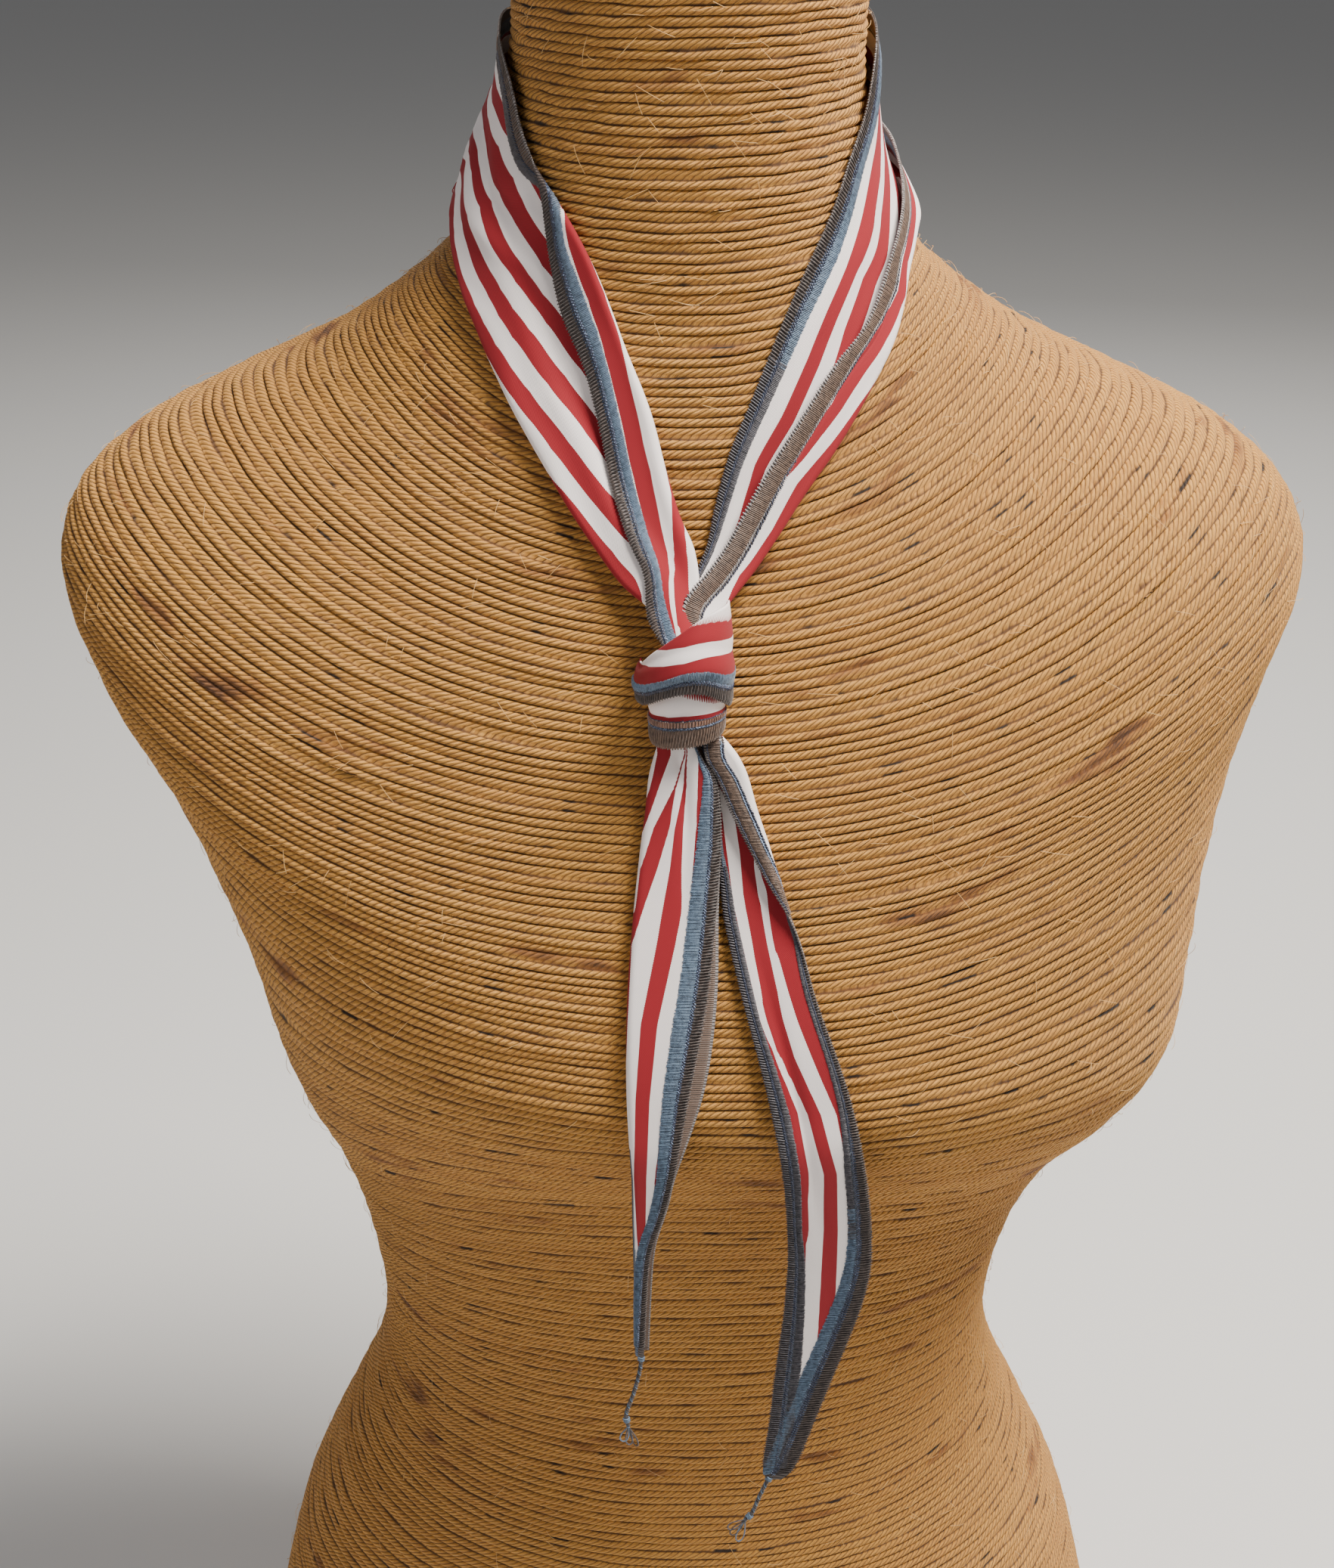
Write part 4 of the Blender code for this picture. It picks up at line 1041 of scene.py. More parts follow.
neck_last = len(NECK_ROWS) - 1
neck_positions = np.linspace(0, neck_last, neck_last * NECK_STEPS + 1)
neck_grounds, neck_ways, neck_lengths, neck_heights = [], [], [], []
for position in neck_positions:
    row = read_row(NECK_COLUMNS, NECK_ROWS, position)
    before = read_row(NECK_COLUMNS, NECK_ROWS, max(position - 0.2, 0))
    after = read_row(NECK_COLUMNS, NECK_ROWS, min(position + 0.2, neck_last))
    middle, normal = neck_middle(row)
    outer = normal.cross(neck_middle(after)[0] - neck_middle(before)[0]).normalized()
    width = row["width"]
    lengths, across, height = folded_section(width, row["under"] * (width - NECK_BEND), row["upper"],
                                             NECK_BEND, NECK_TURN)
    distances, points, ways = laid_ground(form_tree, middle, outer, width)
    share = np.clip(across / width, 0, 1)
    stand = row["stand_in"] + (row["stand_out"] - row["stand_in"]) * share
    neck_grounds.append(read_between(distances, points, across - width / 2))
    neck_ways.append(read_between(distances, ways, across - width / 2))
    neck_heights.append(CLOTH_REST + stand + height)
    neck_lengths.append(lengths)
neck_ways = smoothed_along(np.array(neck_ways), 3)
neck_ways /= np.linalg.norm(neck_ways, axis=2, keepdims=True)
neck_heights = np.array(neck_heights)
neck_lengths = np.array(neck_lengths)
neck_places = smoothed_along(np.array(neck_grounds), 2) + neck_ways * neck_heights[..., None]
neck_places = neck_places[:, ::-1]
neck_lengths = neck_lengths[:, ::-1]
neck_totals = neck_lengths[:, :1]
column_zones = np.cumsum(SECTION_POINTS[::-1])
flap_columns, band_columns = column_zones[1], column_zones[3] - SECTION_POINTS[1] // 2
neck_from_upper = neck_totals - neck_lengths
columns_across = np.arange(neck_places.shape[1])
edge_outward = -smooth_step((band_columns - columns_across) / FADE_COLUMNS)
band_outward = edge_outward * smooth_step((columns_across - flap_columns) / FADE_COLUMNS)
lower_outward = smooth_step((columns_across - band_columns) / FADE_COLUMNS - 1)
flap_outward = smooth_step((flap_columns - columns_across) / FADE_COLUMNS - 2)
for from_edge, creases, outward in (
        (neck_from_upper, BAND_CREASES, band_outward), (neck_lengths, LOWER_CREASES, lower_outward),
        (neck_from_upper, FLAP_CREASES, flap_outward), (neck_from_upper, EDGE_CREASES, edge_outward)):
    neck_places = creased(neck_places, from_edge, neck_positions, creases, outward)
middle_column = neck_places.shape[1] // 2
neck_along = np.concatenate(([0], np.cumsum(np.linalg.norm(
    np.diff(neck_places[:, middle_column], axis=0), axis=1))))
flap_pairs = stripe_pairs(read_lines(FLAP_LINES, neck_positions), neck_from_upper, 0)
band_pairs = stripe_pairs(read_lines(BAND_LINES, neck_positions), neck_from_upper, 0)
upper_pairs = stripe_pairs(read_lines(UPPER_LINES, neck_positions), neck_from_upper, 0)
lower_pairs = stripe_pairs(read_lines(LOWER_LINES, neck_positions), neck_lengths, 0)
upper_serge = read_lines(UPPER_SERGE, neck_positions)[:, 0]
lower_serge = read_lines(LOWER_SERGE, neck_positions)[:, 0]


def neck_cloth_map(row, column, cell_row, cell_column):
    """Stripe pairs across the cloth and centimetres along it."""
    place = neck_positions[cell_row]
    pairs = np.where(place < BAND_END, band_pairs[row, column], upper_pairs[row, column])
    pairs = np.where((cell_column < flap_columns) & (place < FLAP_END), flap_pairs[row, column], pairs)
    pairs = np.where(cell_column < band_columns, pairs, lower_pairs[row, column])
    return pairs, neck_along[row] / STRIPE_PAIR


def neck_edge_map(row, column, cell_row, cell_column):
    """How far in from the cloth's edge, as a share of the stitching's width."""
    edge = np.where(cell_column < band_columns, neck_from_upper[row, column] / upper_serge[row],
                    neck_lengths[row, column] / lower_serge[row])
    return np.minimum(edge, NO_EDGE), 0 * edge


neck_cloth = add_cloth("neck_cloth", neck_places, {"cloth": neck_cloth_map, "edge": neck_edge_map},
                       ("neck_stretch_right", "nape_stretch", "neck_stretch_left"))
upper_edge = (slice(0, band_columns), neck_from_upper, upper_serge)
lower_edge = (slice(band_columns, None), neck_lengths, lower_serge)
# Each run of stitching: its rows of the neck table, its edge, the side it lies on, its threads and
# the seed of the first of them.
NECK_RUNS = (
    (0, 9.2, upper_edge, 1, FACE_STITCHES, 11),
    (12.4, neck_last, upper_edge, -1, BACK_STITCHES, 21),
    (9.0, 12.6, upper_edge, -1, SHADE_STITCHES, 16),
    (12.6, 27.4, lower_edge, 1, FACE_STITCHES, 31),
    (27.2, neck_last, lower_edge, 1, EDGE_STITCHES, 36),
)
neck_bunches = []
for first, last, (columns, from_edge, widths), side, kinds, seed in NECK_RUNS:
    part = (neck_positions >= first) & (neck_positions <= last)
    track = stitch_track(neck_places[part, columns], from_edge[part, columns], widths[part], side)
    neck_bunches += [stitch_lines(track, kind, seed + i) for i, kind in enumerate(kinds)]
add_threads("neck_stitching", neck_bunches)


# The knot's two turns: the longer end goes twice round in front, its edges lying over each other.
# The upper turn shows the cloth's face and the lower one its reverse, each with its stitched edge.
KNOT_COLUMNS = ("angle", "top", "bottom", "top_reach")
UPPER_TURN_ROWS = (
    (-99, 481.5, 471.5, 0.90),
    (-75, 482.5, 471.5, 0.88),
    (-50, 487.0, 473.0, 0.80),
    (-25, 491.0, 476.3, 0.74),
    (0, 494.5, 478.2, 0.72),
    (25, 497.5, 477.4, 0.74),
    (50, 499.0, 474.0, 0.80),
    (75, 499.0, 470.5, 0.86),
    (96, 498.5, 470.5, 0.90),
)
LOWER_TURN_ROWS = (
    (-99, 476.5, 461.0, 0.86),
    (-75, 477.0, 460.0, 0.85),
    (-40, 479.0, 460.2, 0.84),
    (0, 481.0, 461.2, 0.84),
    (40, 480.0, 462.2, 0.84),
    (75, 478.0, 463.0, 0.85),
    (99, 477.0, 463.0, 0.86),
)
UPPER_TURN_CENTRE = (0.0, -93.6)
UPPER_TURN_REACH = (13.5, 16.6)
LOWER_TURN_CENTRE = (0.9, -96.8)
LOWER_TURN_REACH = (10.4, 9.8)
TURN_BOTTOM_REACH = 0.97
TURN_END = 99
KNOT_TOP_SHARE = 0.6
KNOT_BOTTOM_SHARE = 0.5
KNOT_ACROSS = 40
KNOT_STEPS = 12

# Where each stripe starts on the way down a turn, as a share of its depth, by its angle: on the upper
# turn red, white, red and the stitching, and on the lower one white, red and the stitching.
UPPER_TURN_LINES = (
    (-99, -0.70, -0.35, -0.05, 0.48), (-75, -0.55, -0.25, 0.04, 0.51), (-50, -0.35, -0.05, 0.25, 0.58),
    (-25, -0.20, 0.12, 0.38, 0.63), (0, -0.03, 0.225, 0.46, 0.615), (25, 0.06, 0.28, 0.465, 0.65),
    (50, 0.116, 0.313, 0.468, 0.69), (75, 0.16, 0.32, 0.46, 0.67), (96, 0.17, 0.33, 0.46, 0.67),
)
LOWER_TURN_LINES = (
    (-99, -0.10, 0.50, 0.56), (-40, 0.10, 0.52, 0.57), (0, 0.28, 0.545, 0.595),
    (40, 0.38, 0.54, 0.59), (75, 0.38, 0.54, 0.59), (99, 0.38, 0.54, 0.59),
)
# The lower turn's stitching, seen from its back.
KNOT_STITCHES = (
    (-0.05, 0.63, 0.85, 0.80, 0.23, "brown", 0.0),
    (0.64, 0.72, 0.80, 0.72, 0.20, "navy", 0.0),
    (0.72, 0.66, 0.80, 0.72, 0.15, "blue", 0.4),
    (0.75, 0.95, 0.10, 0.80, 0.22, "rust", 0.0),
    (0.95, 1.00, 0.80, 0.80, 0.15, "navy", 0.0),
)
RUST = (0.40, 0.20, 0.12, 1)
KNOT_ZONES = ((0.64, BROWN_DARK, BROWN_LIGHT, 11.0, 1.5), (0.74, NAVY, BEAD_BLUE, 11.0, 0.0),
              (0.96, BROWN_DARK, RUST, 11.0, 0.2), (1.10, NAVY, BEAD_BLUE, 11.0, 0.0))


def knot_turn(rows, centre, reach, folds):
    """Places of a turn of the knot: a row for each angle, and a column for each place down it."""
    count = (len(rows) - 1) * KNOT_STEPS
    positions = np.arange(count + 1) / KNOT_STEPS
    table = {name: smooth_column(np.array([row[i] for row in rows], float), positions)[:, None]
             for i, name in enumerate(KNOT_COLUMNS)}
    share = np.linspace(0, 1, KNOT_ACROSS + 1)[None, :]
    bulge = np.sin(math.pi / 2 * np.minimum(share / KNOT_TOP_SHARE, 1))
    swell = table["top_reach"] + (1 - table["top_reach"]) * bulge
    tuck = smooth_step((share - KNOT_BOTTOM_SHARE) / KNOT_BOTTOM_SHARE)
    swell = swell - (1 - TURN_BOTTOM_REACH) * tuck
    turn = np.radians(table["angle"])
    for at_left, at_right, depth, width in folds:
        at = at_left + (at_right - at_left) * (table["angle"] + TURN_END) / (2 * TURN_END)
        swell = swell + depth * np.exp(-((share - at) / width) ** 2)
    x = centre[0] + reach[0] * swell * np.sin(turn)
    y = centre[1] - reach[1] * swell * np.cos(turn)
    z = table["top"] + (table["bottom"] - table["top"]) * share
    return np.stack(np.broadcast_arrays(x, y, z), -1), table["angle"][:, 0], share[0]


def add_knot_turn(name, node, rows, centre, reach, folds, turn_lines, first_pair, face_out):
    """One turn of the knot, as a thin shell with stitching along its lower edge."""
    places, angles, shares = knot_turn(rows, centre, reach, folds)
    lines = read_lines(turn_lines, angles)
    pairs = stripe_pairs(lines, np.tile(shares, (len(angles), 1)), first_pair)
    edges = (1 - shares[None, :]) / np.maximum(1 - lines[:, -1:], 0.05)
    along = np.radians(angles) * reach[1] / STRIPE_PAIR
    if not face_out:
        places, pairs, edges = places[:, ::-1], pairs[:, ::-1], edges[:, ::-1]

    def cloth_map(row, column, cell_row, cell_column):
        return pairs[row, column], along[row]

    def edge_map(row, column, cell_row, cell_column):
        return edges[row, column], 0 * edges[row, column]

    piece = add_cloth(name, places, {"cloth": cloth_map, "edge": edge_map}, (node,))
    deep = np.linalg.norm(np.diff(places, axis=1), axis=2).sum(1)
    from_edge = (1 - shares[None, :]) * deep[:, None]
    if not face_out:
        from_edge = from_edge[:, ::-1]
    kinds, side = (FACE_STITCHES, 1) if face_out else (KNOT_STITCHES, -1)
    track = stitch_track(places, from_edge, (1 - lines[:, -1]) * deep, side)
    stitches = [stitch_lines(track, kind, 41 + i) for i, kind in enumerate(kinds)]
    add_threads(name + "_stitching", stitches)
    return piece


add_knot_turn(
    "knot_upper_cloth", "knot_upper_turn", UPPER_TURN_ROWS, UPPER_TURN_CENTRE, UPPER_TURN_REACH,
    ((0.05, 0.52, -0.03, 0.10), (0.62, 0.66, 0.03, 0.10)), UPPER_TURN_LINES, 0.0, True)
lower_turn = add_knot_turn(
    "knot_lower_cloth", "knot_lower_turn", LOWER_TURN_ROWS, LOWER_TURN_CENTRE, LOWER_TURN_REACH,
    ((0.30, 0.34, 0.05, 0.14), (0.50, 0.50, -0.03, 0.06)), LOWER_TURN_LINES, 0.5, False)
lower_turn.data.materials[1] = cotton_material(
    "knot reverse", weave_nodes, overlock_group("overlock knot", KNOT_ZONES, 38.0))
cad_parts["knot_core"].data.materials.clear()
core_red = bpy.data.materials.new("inner cotton")
core_red.use_nodes = True
core_tree = core_red.node_tree
core_place = add_node(core_tree, "ShaderNodeTexCoord").outputs["Object"]
core_colour = mixed(core_tree, noise_value(core_tree, core_place, 900.0), (0.40, 0.014, 0.024, 1),
                    (0.55, 0.04, 0.05, 1))
core_tree.links.new(core_colour, core_tree.nodes["Principled BSDF"].inputs["Base Color"])
core_tree.nodes["Principled BSDF"].inputs["Roughness"].default_value = 0.85
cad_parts["knot_core"].data.materials.append(core_red)


# The two ends hang from below the knot over the chest, then freely in front of the bust. Each is
# folded lengthwise at the knot, opens on its way down and tapers to a point.
END_COLUMNS = ("height", "middle", "width", "under", "upper", "valley", "valley_at", "stand")
SHORT_END_ROWS = (
    (462.5, -1.5, 9.0, 7.4, 11.8, 0.0, 0.50, 3.6),
    (456.0, -1.2, 13.6, 12.0, 16.5, 1.0, 0.50, 2.6),
    (450.0, 0.0, 19.0, 17.0, 22.0, 1.4, 0.50, 1.5),
    (441.0, 0.1, 21.0, 19.2, 23.9, 1.0, 0.48, 0.8),
    (432.0, -0.4, 22.5, 20.5, 25.4, 0.5, 0.45, 0.4),
    (413.0, -2.0, 23.6, 22.0, 26.1, 0.2, 0.40, 0.2),
    (391.0, -2.9, 25.2, 23.4, 25.4, 0.0, 0.40, 0.1),
    (366.0, -4.9, 21.8, 20.4, 20.8, 0.0, 0.40, 0.5),
    (341.0, -8.3, 12.5, 11.3, 15.3, 0.0, 0.45, 0.4),
    (328.0, -9.6, 9.6, 8.5, 12.4, 0.0, 0.50, 0.1),
    (314.0, -11.4, 5.6, 4.6, 8.2, 0.0, 0.50, 0.1),
    (296.0, -11.9, 4.2, 3.2, 6.8, 0.0, 0.50, 0.1),
    (277.0, -12.2, 3.4, 2.4, 5.9, 0.0, 0.50, 0.1),
)
LONG_END_ROWS = (
    (462.5, 7.4, 4.2, 3.8, 7.0, 0.0, 0.50, 3.6),
    (458.5, 9.3, 7.4, 6.9, 10.6, 0.0, 0.50, 3.0),
    (455.0, 10.9, 9.2, 8.6, 12.2, 0.0, 0.50, 2.4),
    (450.0, 13.0, 9.4, 8.8, 11.4, 0.0, 0.50, 1.5),
    (441.0, 14.9, 10.8, 10.2, 10.2, 0.0, 0.45, 0.8),
    (432.0, 16.9, 13.2, 12.5, 8.8, 0.0, 0.40, 0.4),
    (422.0, 18.9, 15.6, 14.9, 6.4, 0.0, 0.35, 0.2),
    (411.0, 21.4, 18.3, 17.6, 3.2, 0.0, 0.35, 0.2),
    (391.0, 27.8, 21.0, 20.4, 0, 0.6, 0.32, 0.3),
    (366.0, 36.0, 23.5, 22.9, 0, 1.1, 0.30, 0.8),
    (341.0, 41.3, 24.1, 23.5, 0, 0.8, 0.30, 0.7),
    (314.0, 43.8, 24.7, 24.1, 0, 0.3, 0.40, 0.3),
    (300.0, 43.2, 24.0, 23.4, 0, 0.2, 0.45, 0.2),
    (287.0, 41.4, 21.8, 21.2, 0, 0.1, 0.50, 0.2),
    (268.0, 37.7, 18.0, 17.4, 0, 0.0, 0.50, 0.2),
    (250.0, 34.4, 14.0, 13.4, 0, 0.0, 0.50, 0.2),
    (236.0, 31.6, 11.4, 10.8, 0, 0.0, 0.50, 0.2),
    (230.0, 30.3, 8.8, 8.3, 0, 0.0, 0.50, 0.2),
    (227.2, 29.6, 4.8, 4.5, 0, 0.0, 0.50, 0.2),
)
END_STEPS = 14
END_SMOOTHING = 12
VALLEY_REACH = 1.9
SINGLE_LAYER = 3.0
FRONT_LAYER = 1.9
CHEST_HEIGHT = 352.0
CHEST_SINK = 0.9
HANG_LINE = -131.6
SHORT_END_BEND = 1.6
LONG_END_BEND = 1.5
NO_SERGE = 0.3

# The stripe lines of an end by height, as places in X: where each red stripe starts and ends, from
# the left. Then how wide the stitching is at the upper layer's edge and at the other edge.
SHORT_LINE_COLUMNS = ("height", "red_1", "white_1", "red_2", "white_2", "red_3", "white_3", "red_4",
                      "white_4", "serge_upper", "serge_left")
SHORT_LINE_ROWS = (
    (457, -7.1, -3.6, 0.4, 0.6, 0.7, 0.9, 4.1, 5.8, 0.9, 0.01),
    (448, -9.0, -6.9, -2.5, -2.3, 0.0, 0.8, 3.9, 5.6, 4.3, 0.01),
    (437, -12.3, -10.7, -8.4, -3.8, -2.5, -0.2, 3.6, 4.8, 6.3, 0.01),
    (426, -15.5, -13.8, -11.9, -7.3, -3.8, -0.6, 2.7, 3.8, 7.2, 0.01),
    (415, -18.7, -17.2, -13.2, -11.5, -5.9, -0.4, 2.1, 2.7, 7.7, 0.01),
    (406, -21.9, -20.6, -16.4, -14.3, -7.5, -2.3, 1.5, 1.8, 8.0, 0.01),
    (385, -26.2, -24.9, -18.8, -15.4, -12.0, -7.3, -2.0, -1.6, 8.5, 0.01),
    (364, -27.4, -26.3, -19.5, -16.2, -13.5, -9.5, -5.4, -5.0, 7.3, 0.01),
    (341, -28.7, -27.0, -20.1, -16.4, -13.9, -10.4, -8.0, -7.6, 5.0, 0.5),
    (325, -28.9, -27.2, -20.2, -16.3, -13.3, -10.7, -8.7, -8.3, 4.3, 0.5),
    (312, -29.1, -27.3, -20.3, -16.2, -12.7, -11.6, -9.2, -8.8, 3.9, 0.5),
    (290, -29.1, -27.3, -20.3, -16.2, -12.7, -11.9, -9.4, -9.0, 4.4, 0.5),
)
LONG_LINE_COLUMNS = ("height", "red_1", "white_1", "red_2", "white_2", "red_3", "white_3",
                     "serge_upper", "serge_left")
LONG_LINE_ROWS = (
    (455, 3.0, 4.0, 5.0, 6.0, 9.5, 10.5, 5.6, 1.0),
    (440, 9.6, 10.4, 14.0, 16.6, 17.5, 18.4, 6.0, 1.0),
    (429, 10.9, 11.8, 15.7, 19.4, 20.0, 21.2, 5.0, 1.5),
    (418, 12.2, 13.3, 16.6, 21.0, 23.1, 28.5, 4.4, 3.1),
    (406, 14.4, 16.0, 19.0, 23.4, 24.7, 32.0, 2.3, 3.6),
    (385, 18.4, 21.6, 22.9, 28.0, 31.8, 37.5, 3.0, 3.3),
    (375, 23.4, 25.9, 26.8, 31.2, 36.1, 40.6, 3.3, 4.0),
    (359, 29.7, 32.2, 35.0, 38.7, 43.2, 46.0, 4.1, 4.9),
    (341, 33.2, 35.5, 40.0, 43.7, 46.9, 50.1, 6.1, 4.9),
    (321, 34.7, 35.8, 40.6, 44.7, 48.1, 51.3, 6.6, 4.1),
    (300, 33.9, 34.8, 40.3, 44.9, 48.5, 52.0, 8.3, 5.5),
    (284, 32.9, 34.3, 40.1, 44.1, 48.6, 52.6, 9.2, 6.5),
    (270, 32.2, 33.7, 39.6, 43.7, 48.6, 53.1, 9.6, 7.4),
    (229, 30.2, 32.0, 38.6, 42.7, 47.6, 52.1, 9.6, 7.4),
)

# The ends' own stitching: of the short end, and of the long end's edge that is turned over.
HANG_STITCHES = (
    (-0.05, 0.38, 0.45, 0.86, 0.19, "hatch", 0.0),
    (0.36, 0.46, 0.95, 0.80, 0.22, "navy", 0.0),
    (0.46, 0.37, 0.80, 0.80, 0.18, "blue", 0.4),
    (0.48, 1.00, 0.15, 0.44, 0.20, "satin", 0.0),
)
FLAP_STITCHES = (
    (-0.05, 0.14, 0.35, 0.80, 0.20, "hatch", 0.0),
    (0.10, 0.18, 0.95, 0.82, 0.22, "navy", 0.2),
    (0.20, 0.78, 0.30, 0.50, 0.23, "brown", 0.0),
    (0.80, 0.86, 0.95, 0.90, 0.19, "blue", 0.0),
    (0.90, 0.96, 0.95, 0.90, 0.20, "navy", 0.4),
)
# Each run of stitching: its top and bottom, whether it is on the upper layer's edge, the side it
# lies on, and its threads.
SHORT_END_RUNS = ((461, 279, True, 1, HANG_STITCHES),)
LONG_END_RUNS = (
    (461, 412, True, -1, FLAP_STITCHES), (412, 316, True, 1, SHADE_STITCHES),
    (330, 229, True, 1, FACE_STITCHES), (426, 231, False, 1, EDGE_STITCHES),
)


def end_places(rows, bend, side):
    """An end's places, a row for each height and a column from its upper edge, with lengths."""
    count = (len(rows) - 1) * END_STEPS
    places, lengths_by_row = [], []
    for position in np.arange(count + 1) / END_STEPS:
        row = read_row(END_COLUMNS, rows, position)
        width = row["width"]
        ground = HANG_LINE
        if row["height"] > CHEST_HEIGHT:
            spot = Vector((row["middle"], -FAR_OUT, row["height"]))
            hit = form_tree.ray_cast(spot, Vector((0, 1, 0)))[0]
            ground = max(hit.y - CHEST_SINK, HANG_LINE)
        single = row["upper"] < SINGLE_LAYER
        lengths, across, height = folded_section(width, row["under"], max(row["upper"], 0), bend,
                                                 NECK_TURN)
        dip = (across / width - row["valley_at"]) * width / VALLEY_REACH
        depth = row["valley"] * np.exp(-dip * dip) * (single | (height > FRONT_LAYER * bend))
        rest = CLOTH_REST + row["stand"] + height - depth + (row["valley"] if single else 0)
        x = row["middle"] + side * (across - width / 2)
        places.append(np.stack((x, ground - rest, np.full_like(x, row["height"])), -1)[::-1])
        lengths_by_row.append(lengths[::-1])
    return smoothed_along(np.array(places), END_SMOOTHING), np.array(lengths_by_row)


def add_end(name, node, rows, bend, side, line_columns, line_rows, runs):
    """One hanging end as a thin shell, striped by its own stripe lines, with its runs of stitching."""
    places, lengths = end_places(rows, bend, side)
    heights = places[:, 0, 2]
    known = np.array([row[0] for row in line_rows], float)[::-1]
    lines = {column: np.interp(heights, known, np.array([row[i] for row in line_rows], float)[::-1])
             for i, column in enumerate(line_columns)}
    stripe_lines = np.stack([lines[column] for column in line_columns[1:-2]], -1)
    pairs = stripe_pairs(stripe_lines, places[:, :, 0], 0)
    totals = lengths[:, :1]
    serge_upper, serge_left = lines["serge_upper"][:, None], lines["serge_left"][:, None]
    from_upper = (totals - lengths) / serge_upper
    if side > 0:
        from_other = lengths / serge_left
    else:
        left = places[:, :, 0].min(1, keepdims=True)
        from_left = np.where(serge_left > NO_SERGE, (places[:, :, 0] - left) / serge_left, NO_EDGE)
        from_other = np.minimum(lengths / serge_upper, from_left)
    edges = np.minimum(np.minimum(from_upper, from_other), NO_EDGE)
    along = np.abs(heights - heights[0]) / STRIPE_PAIR

    def cloth_map(row, column, cell_row, cell_column):
        return pairs[row, column], along[row]

    def edge_map(row, column, cell_row, cell_column):
        return edges[row, column], 0 * edges[row, column]

    piece = add_cloth(name, places, {"cloth": cloth_map, "edge": edge_map}, (node,))
    bunches = []
    for number, (top, bottom, on_upper, stitch_side, kinds) in enumerate(runs):
        part = (heights <= top) & (heights >= bottom)
        from_edge = totals - lengths if on_upper else lengths
        widths = lines["serge_upper" if on_upper else "serge_left"]
        track = stitch_track(places[part], from_edge[part], widths[part], stitch_side)
        bunches += [stitch_lines(track, kind, 60 + 10 * number + i) for i, kind in enumerate(kinds)]
    add_threads(name + "_stitching", bunches)


add_end(
    "short_end_cloth", "short_end", SHORT_END_ROWS, SHORT_END_BEND, -1, SHORT_LINE_COLUMNS,
    SHORT_LINE_ROWS, SHORT_END_RUNS)
add_end(
    "long_end_cloth", "long_end", LONG_END_ROWS, LONG_END_BEND, 1, LONG_LINE_COLUMNS,
    LONG_LINE_ROWS, LONG_END_RUNS)


# The chains of overlock thread that hang from the two points, left uncut after sewing: three
# twisted threads, knotted twice, that fray into loose loops.
SHORT_TAIL = ((-12.2, 277.0), (-12.6, 271.0), (-14.5, 262.0), (-16.8, 254.0), (-16.2, 249.0))
LONG_TAIL = ((27.4, 229.0), (25.4, 224.0), (23.6, 219.0), (21.8, 213.5), (19.6, 210.5))
SHORT_LOOPS = ((7.5, -70, 0.10), (5.5, -110, 0.22), (6.5, -88, -0.16))
LONG_LOOPS = ((7.0, -128, 0.16), (8.5, -104, -0.14), (6.0, -150, 0.22))
TAIL_POINTS = 90
TAIL_RADIUS = 0.45
TAIL_STRAND = 0.30
TAIL_TWIST = 2.6
TAIL_COLOURS = ("hatch", "satin", "slate")
TAIL_KNOTS = (0.10, 0.86)
TAIL_KNOT_RADIUS = 0.85
TAIL_KNOT_COILS = 3.0
TAIL_KNOT_LENGTH = 1.5
COIL_POINTS = 40
LOOP_POINTS = 22
LOOP_STRAND = 0.24
LOOP_OUT = 0.5


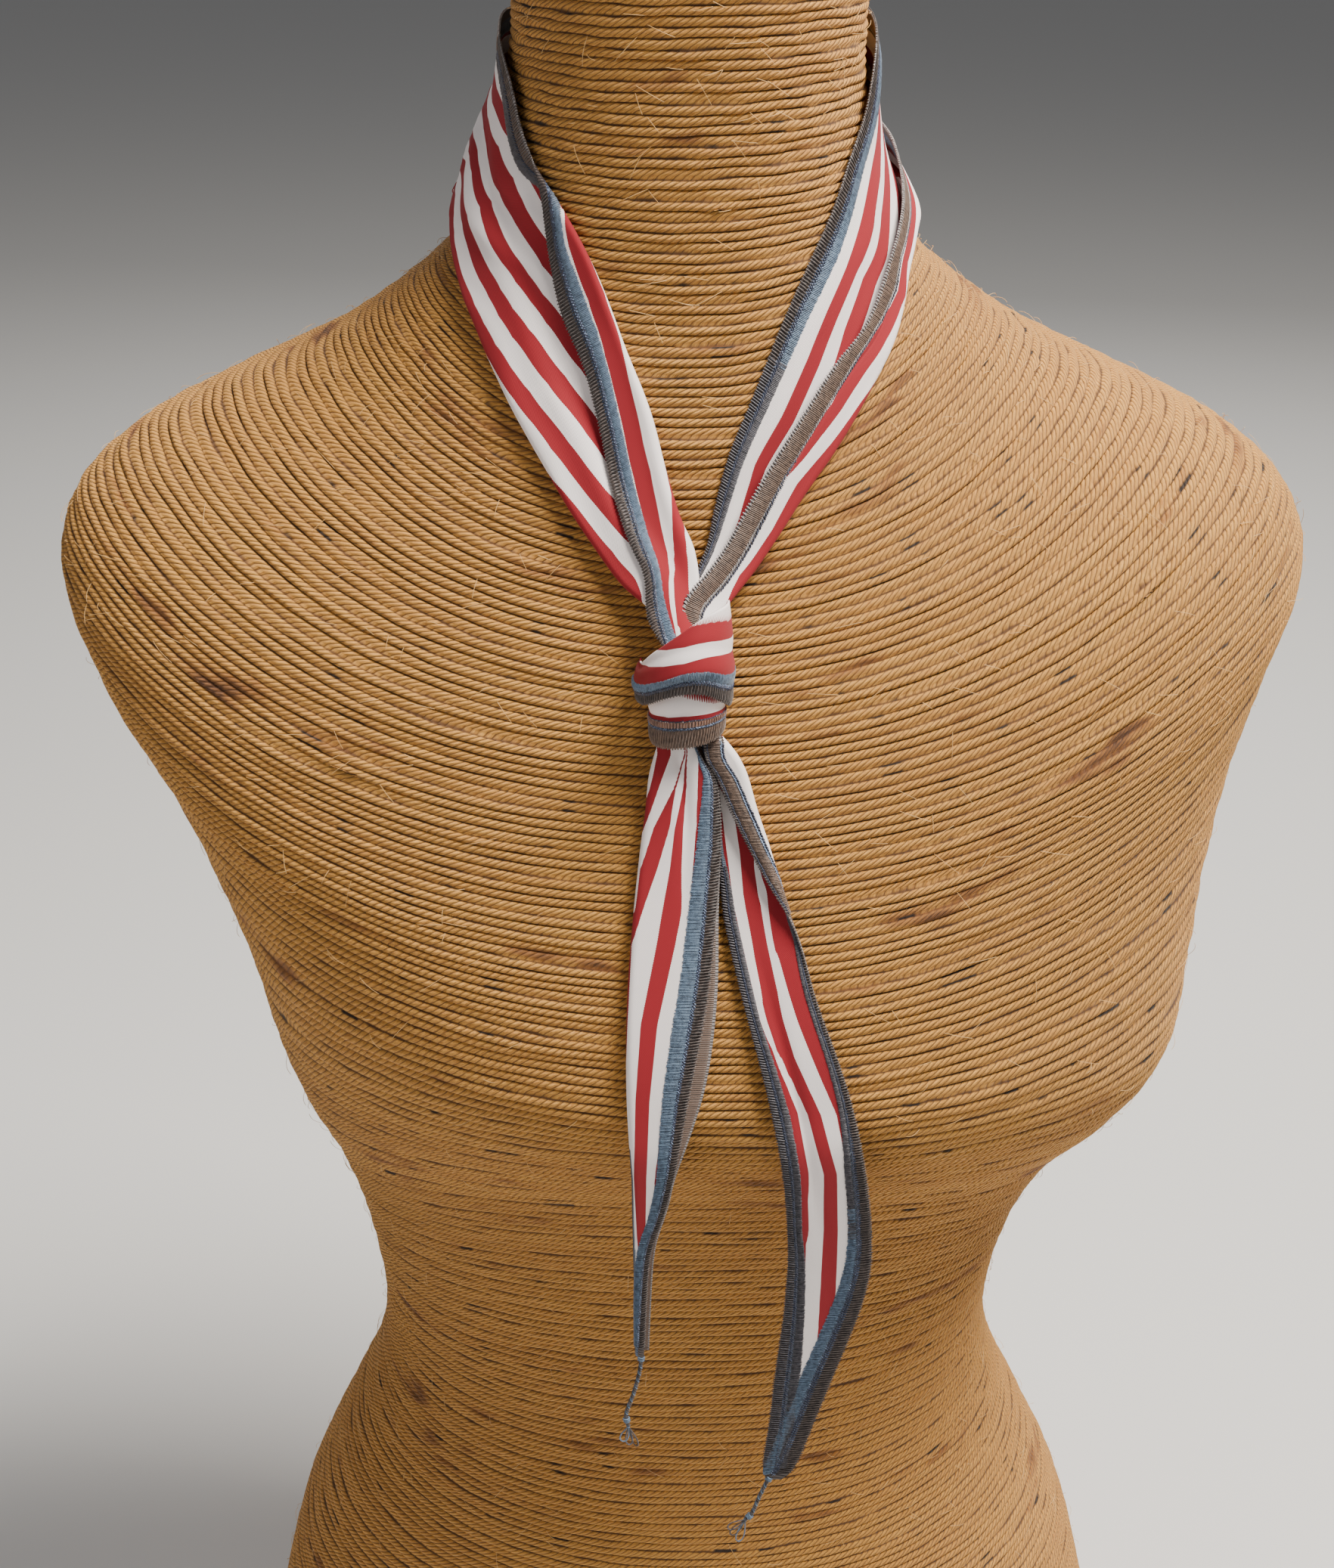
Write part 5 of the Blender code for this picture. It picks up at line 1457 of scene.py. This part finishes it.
def tail_bunches(route, depth, loops):
    """The twisted threads, the knots and the loose loops of one chain."""
    table = np.array(route, float)
    steps = np.linspace(0, len(route) - 1, TAIL_POINTS)
    middle = np.stack((smooth_column(table[:, 0], steps), np.full(TAIL_POINTS, depth),
                       smooth_column(table[:, 1], steps)), -1)
    heading = np.gradient(middle, axis=0)
    heading /= np.linalg.norm(heading, axis=1, keepdims=True)
    front = np.array((0.0, -1.0, 0.0))
    side = np.cross(heading, front)
    way = np.concatenate(([0], np.cumsum(np.linalg.norm(np.diff(middle, axis=0), axis=1))))
    bunches = []
    for strand, colour in enumerate(TAIL_COLOURS):
        turn = 2 * math.pi * (way / TAIL_TWIST + strand / len(TAIL_COLOURS))
        line = middle + TAIL_RADIUS * (np.cos(turn)[:, None] * side + np.sin(turn)[:, None] * front)
        bunches.append(([line], TAIL_STRAND, colour))
    coil = np.linspace(0, 2 * math.pi * TAIL_KNOT_COILS, COIL_POINTS)
    for share in TAIL_KNOTS:
        at = int(share * (TAIL_POINTS - 1))
        ring = np.cos(coil)[:, None] * side[at] + np.sin(coil)[:, None] * front
        shift = ((coil / coil[-1] - 0.5) * TAIL_KNOT_LENGTH)[:, None] * heading[at]
        bunches.append(([middle[at] + TAIL_KNOT_RADIUS * ring + shift], TAIL_STRAND, "satin"))
    around = np.linspace(0, 1, LOOP_POINTS)
    for (length, angle, bow), colour in zip(loops, TAIL_COLOURS):
        down = np.array((math.cos(math.radians(angle)), 0, math.sin(math.radians(angle))))
        across = np.cross(down, front)
        line = (middle[-1] + length * (np.sin(math.pi * around)[:, None] * down
                                       + bow * np.sin(2 * math.pi * around)[:, None] * across)
                + LOOP_OUT * np.sin(3 * around)[:, None] * front)
        bunches.append(([line], LOOP_STRAND, colour))
    return bunches


short_tail = add_threads("short_end_tail", tail_bunches(
    SHORT_TAIL, HANG_LINE - CLOTH_REST - SHORT_END_BEND, SHORT_LOOPS))
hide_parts("short_end_thread")
long_tail = add_threads("long_end_tail", tail_bunches(LONG_TAIL, HANG_LINE - CLOTH_REST, LONG_LOOPS))
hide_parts("long_end_thread")
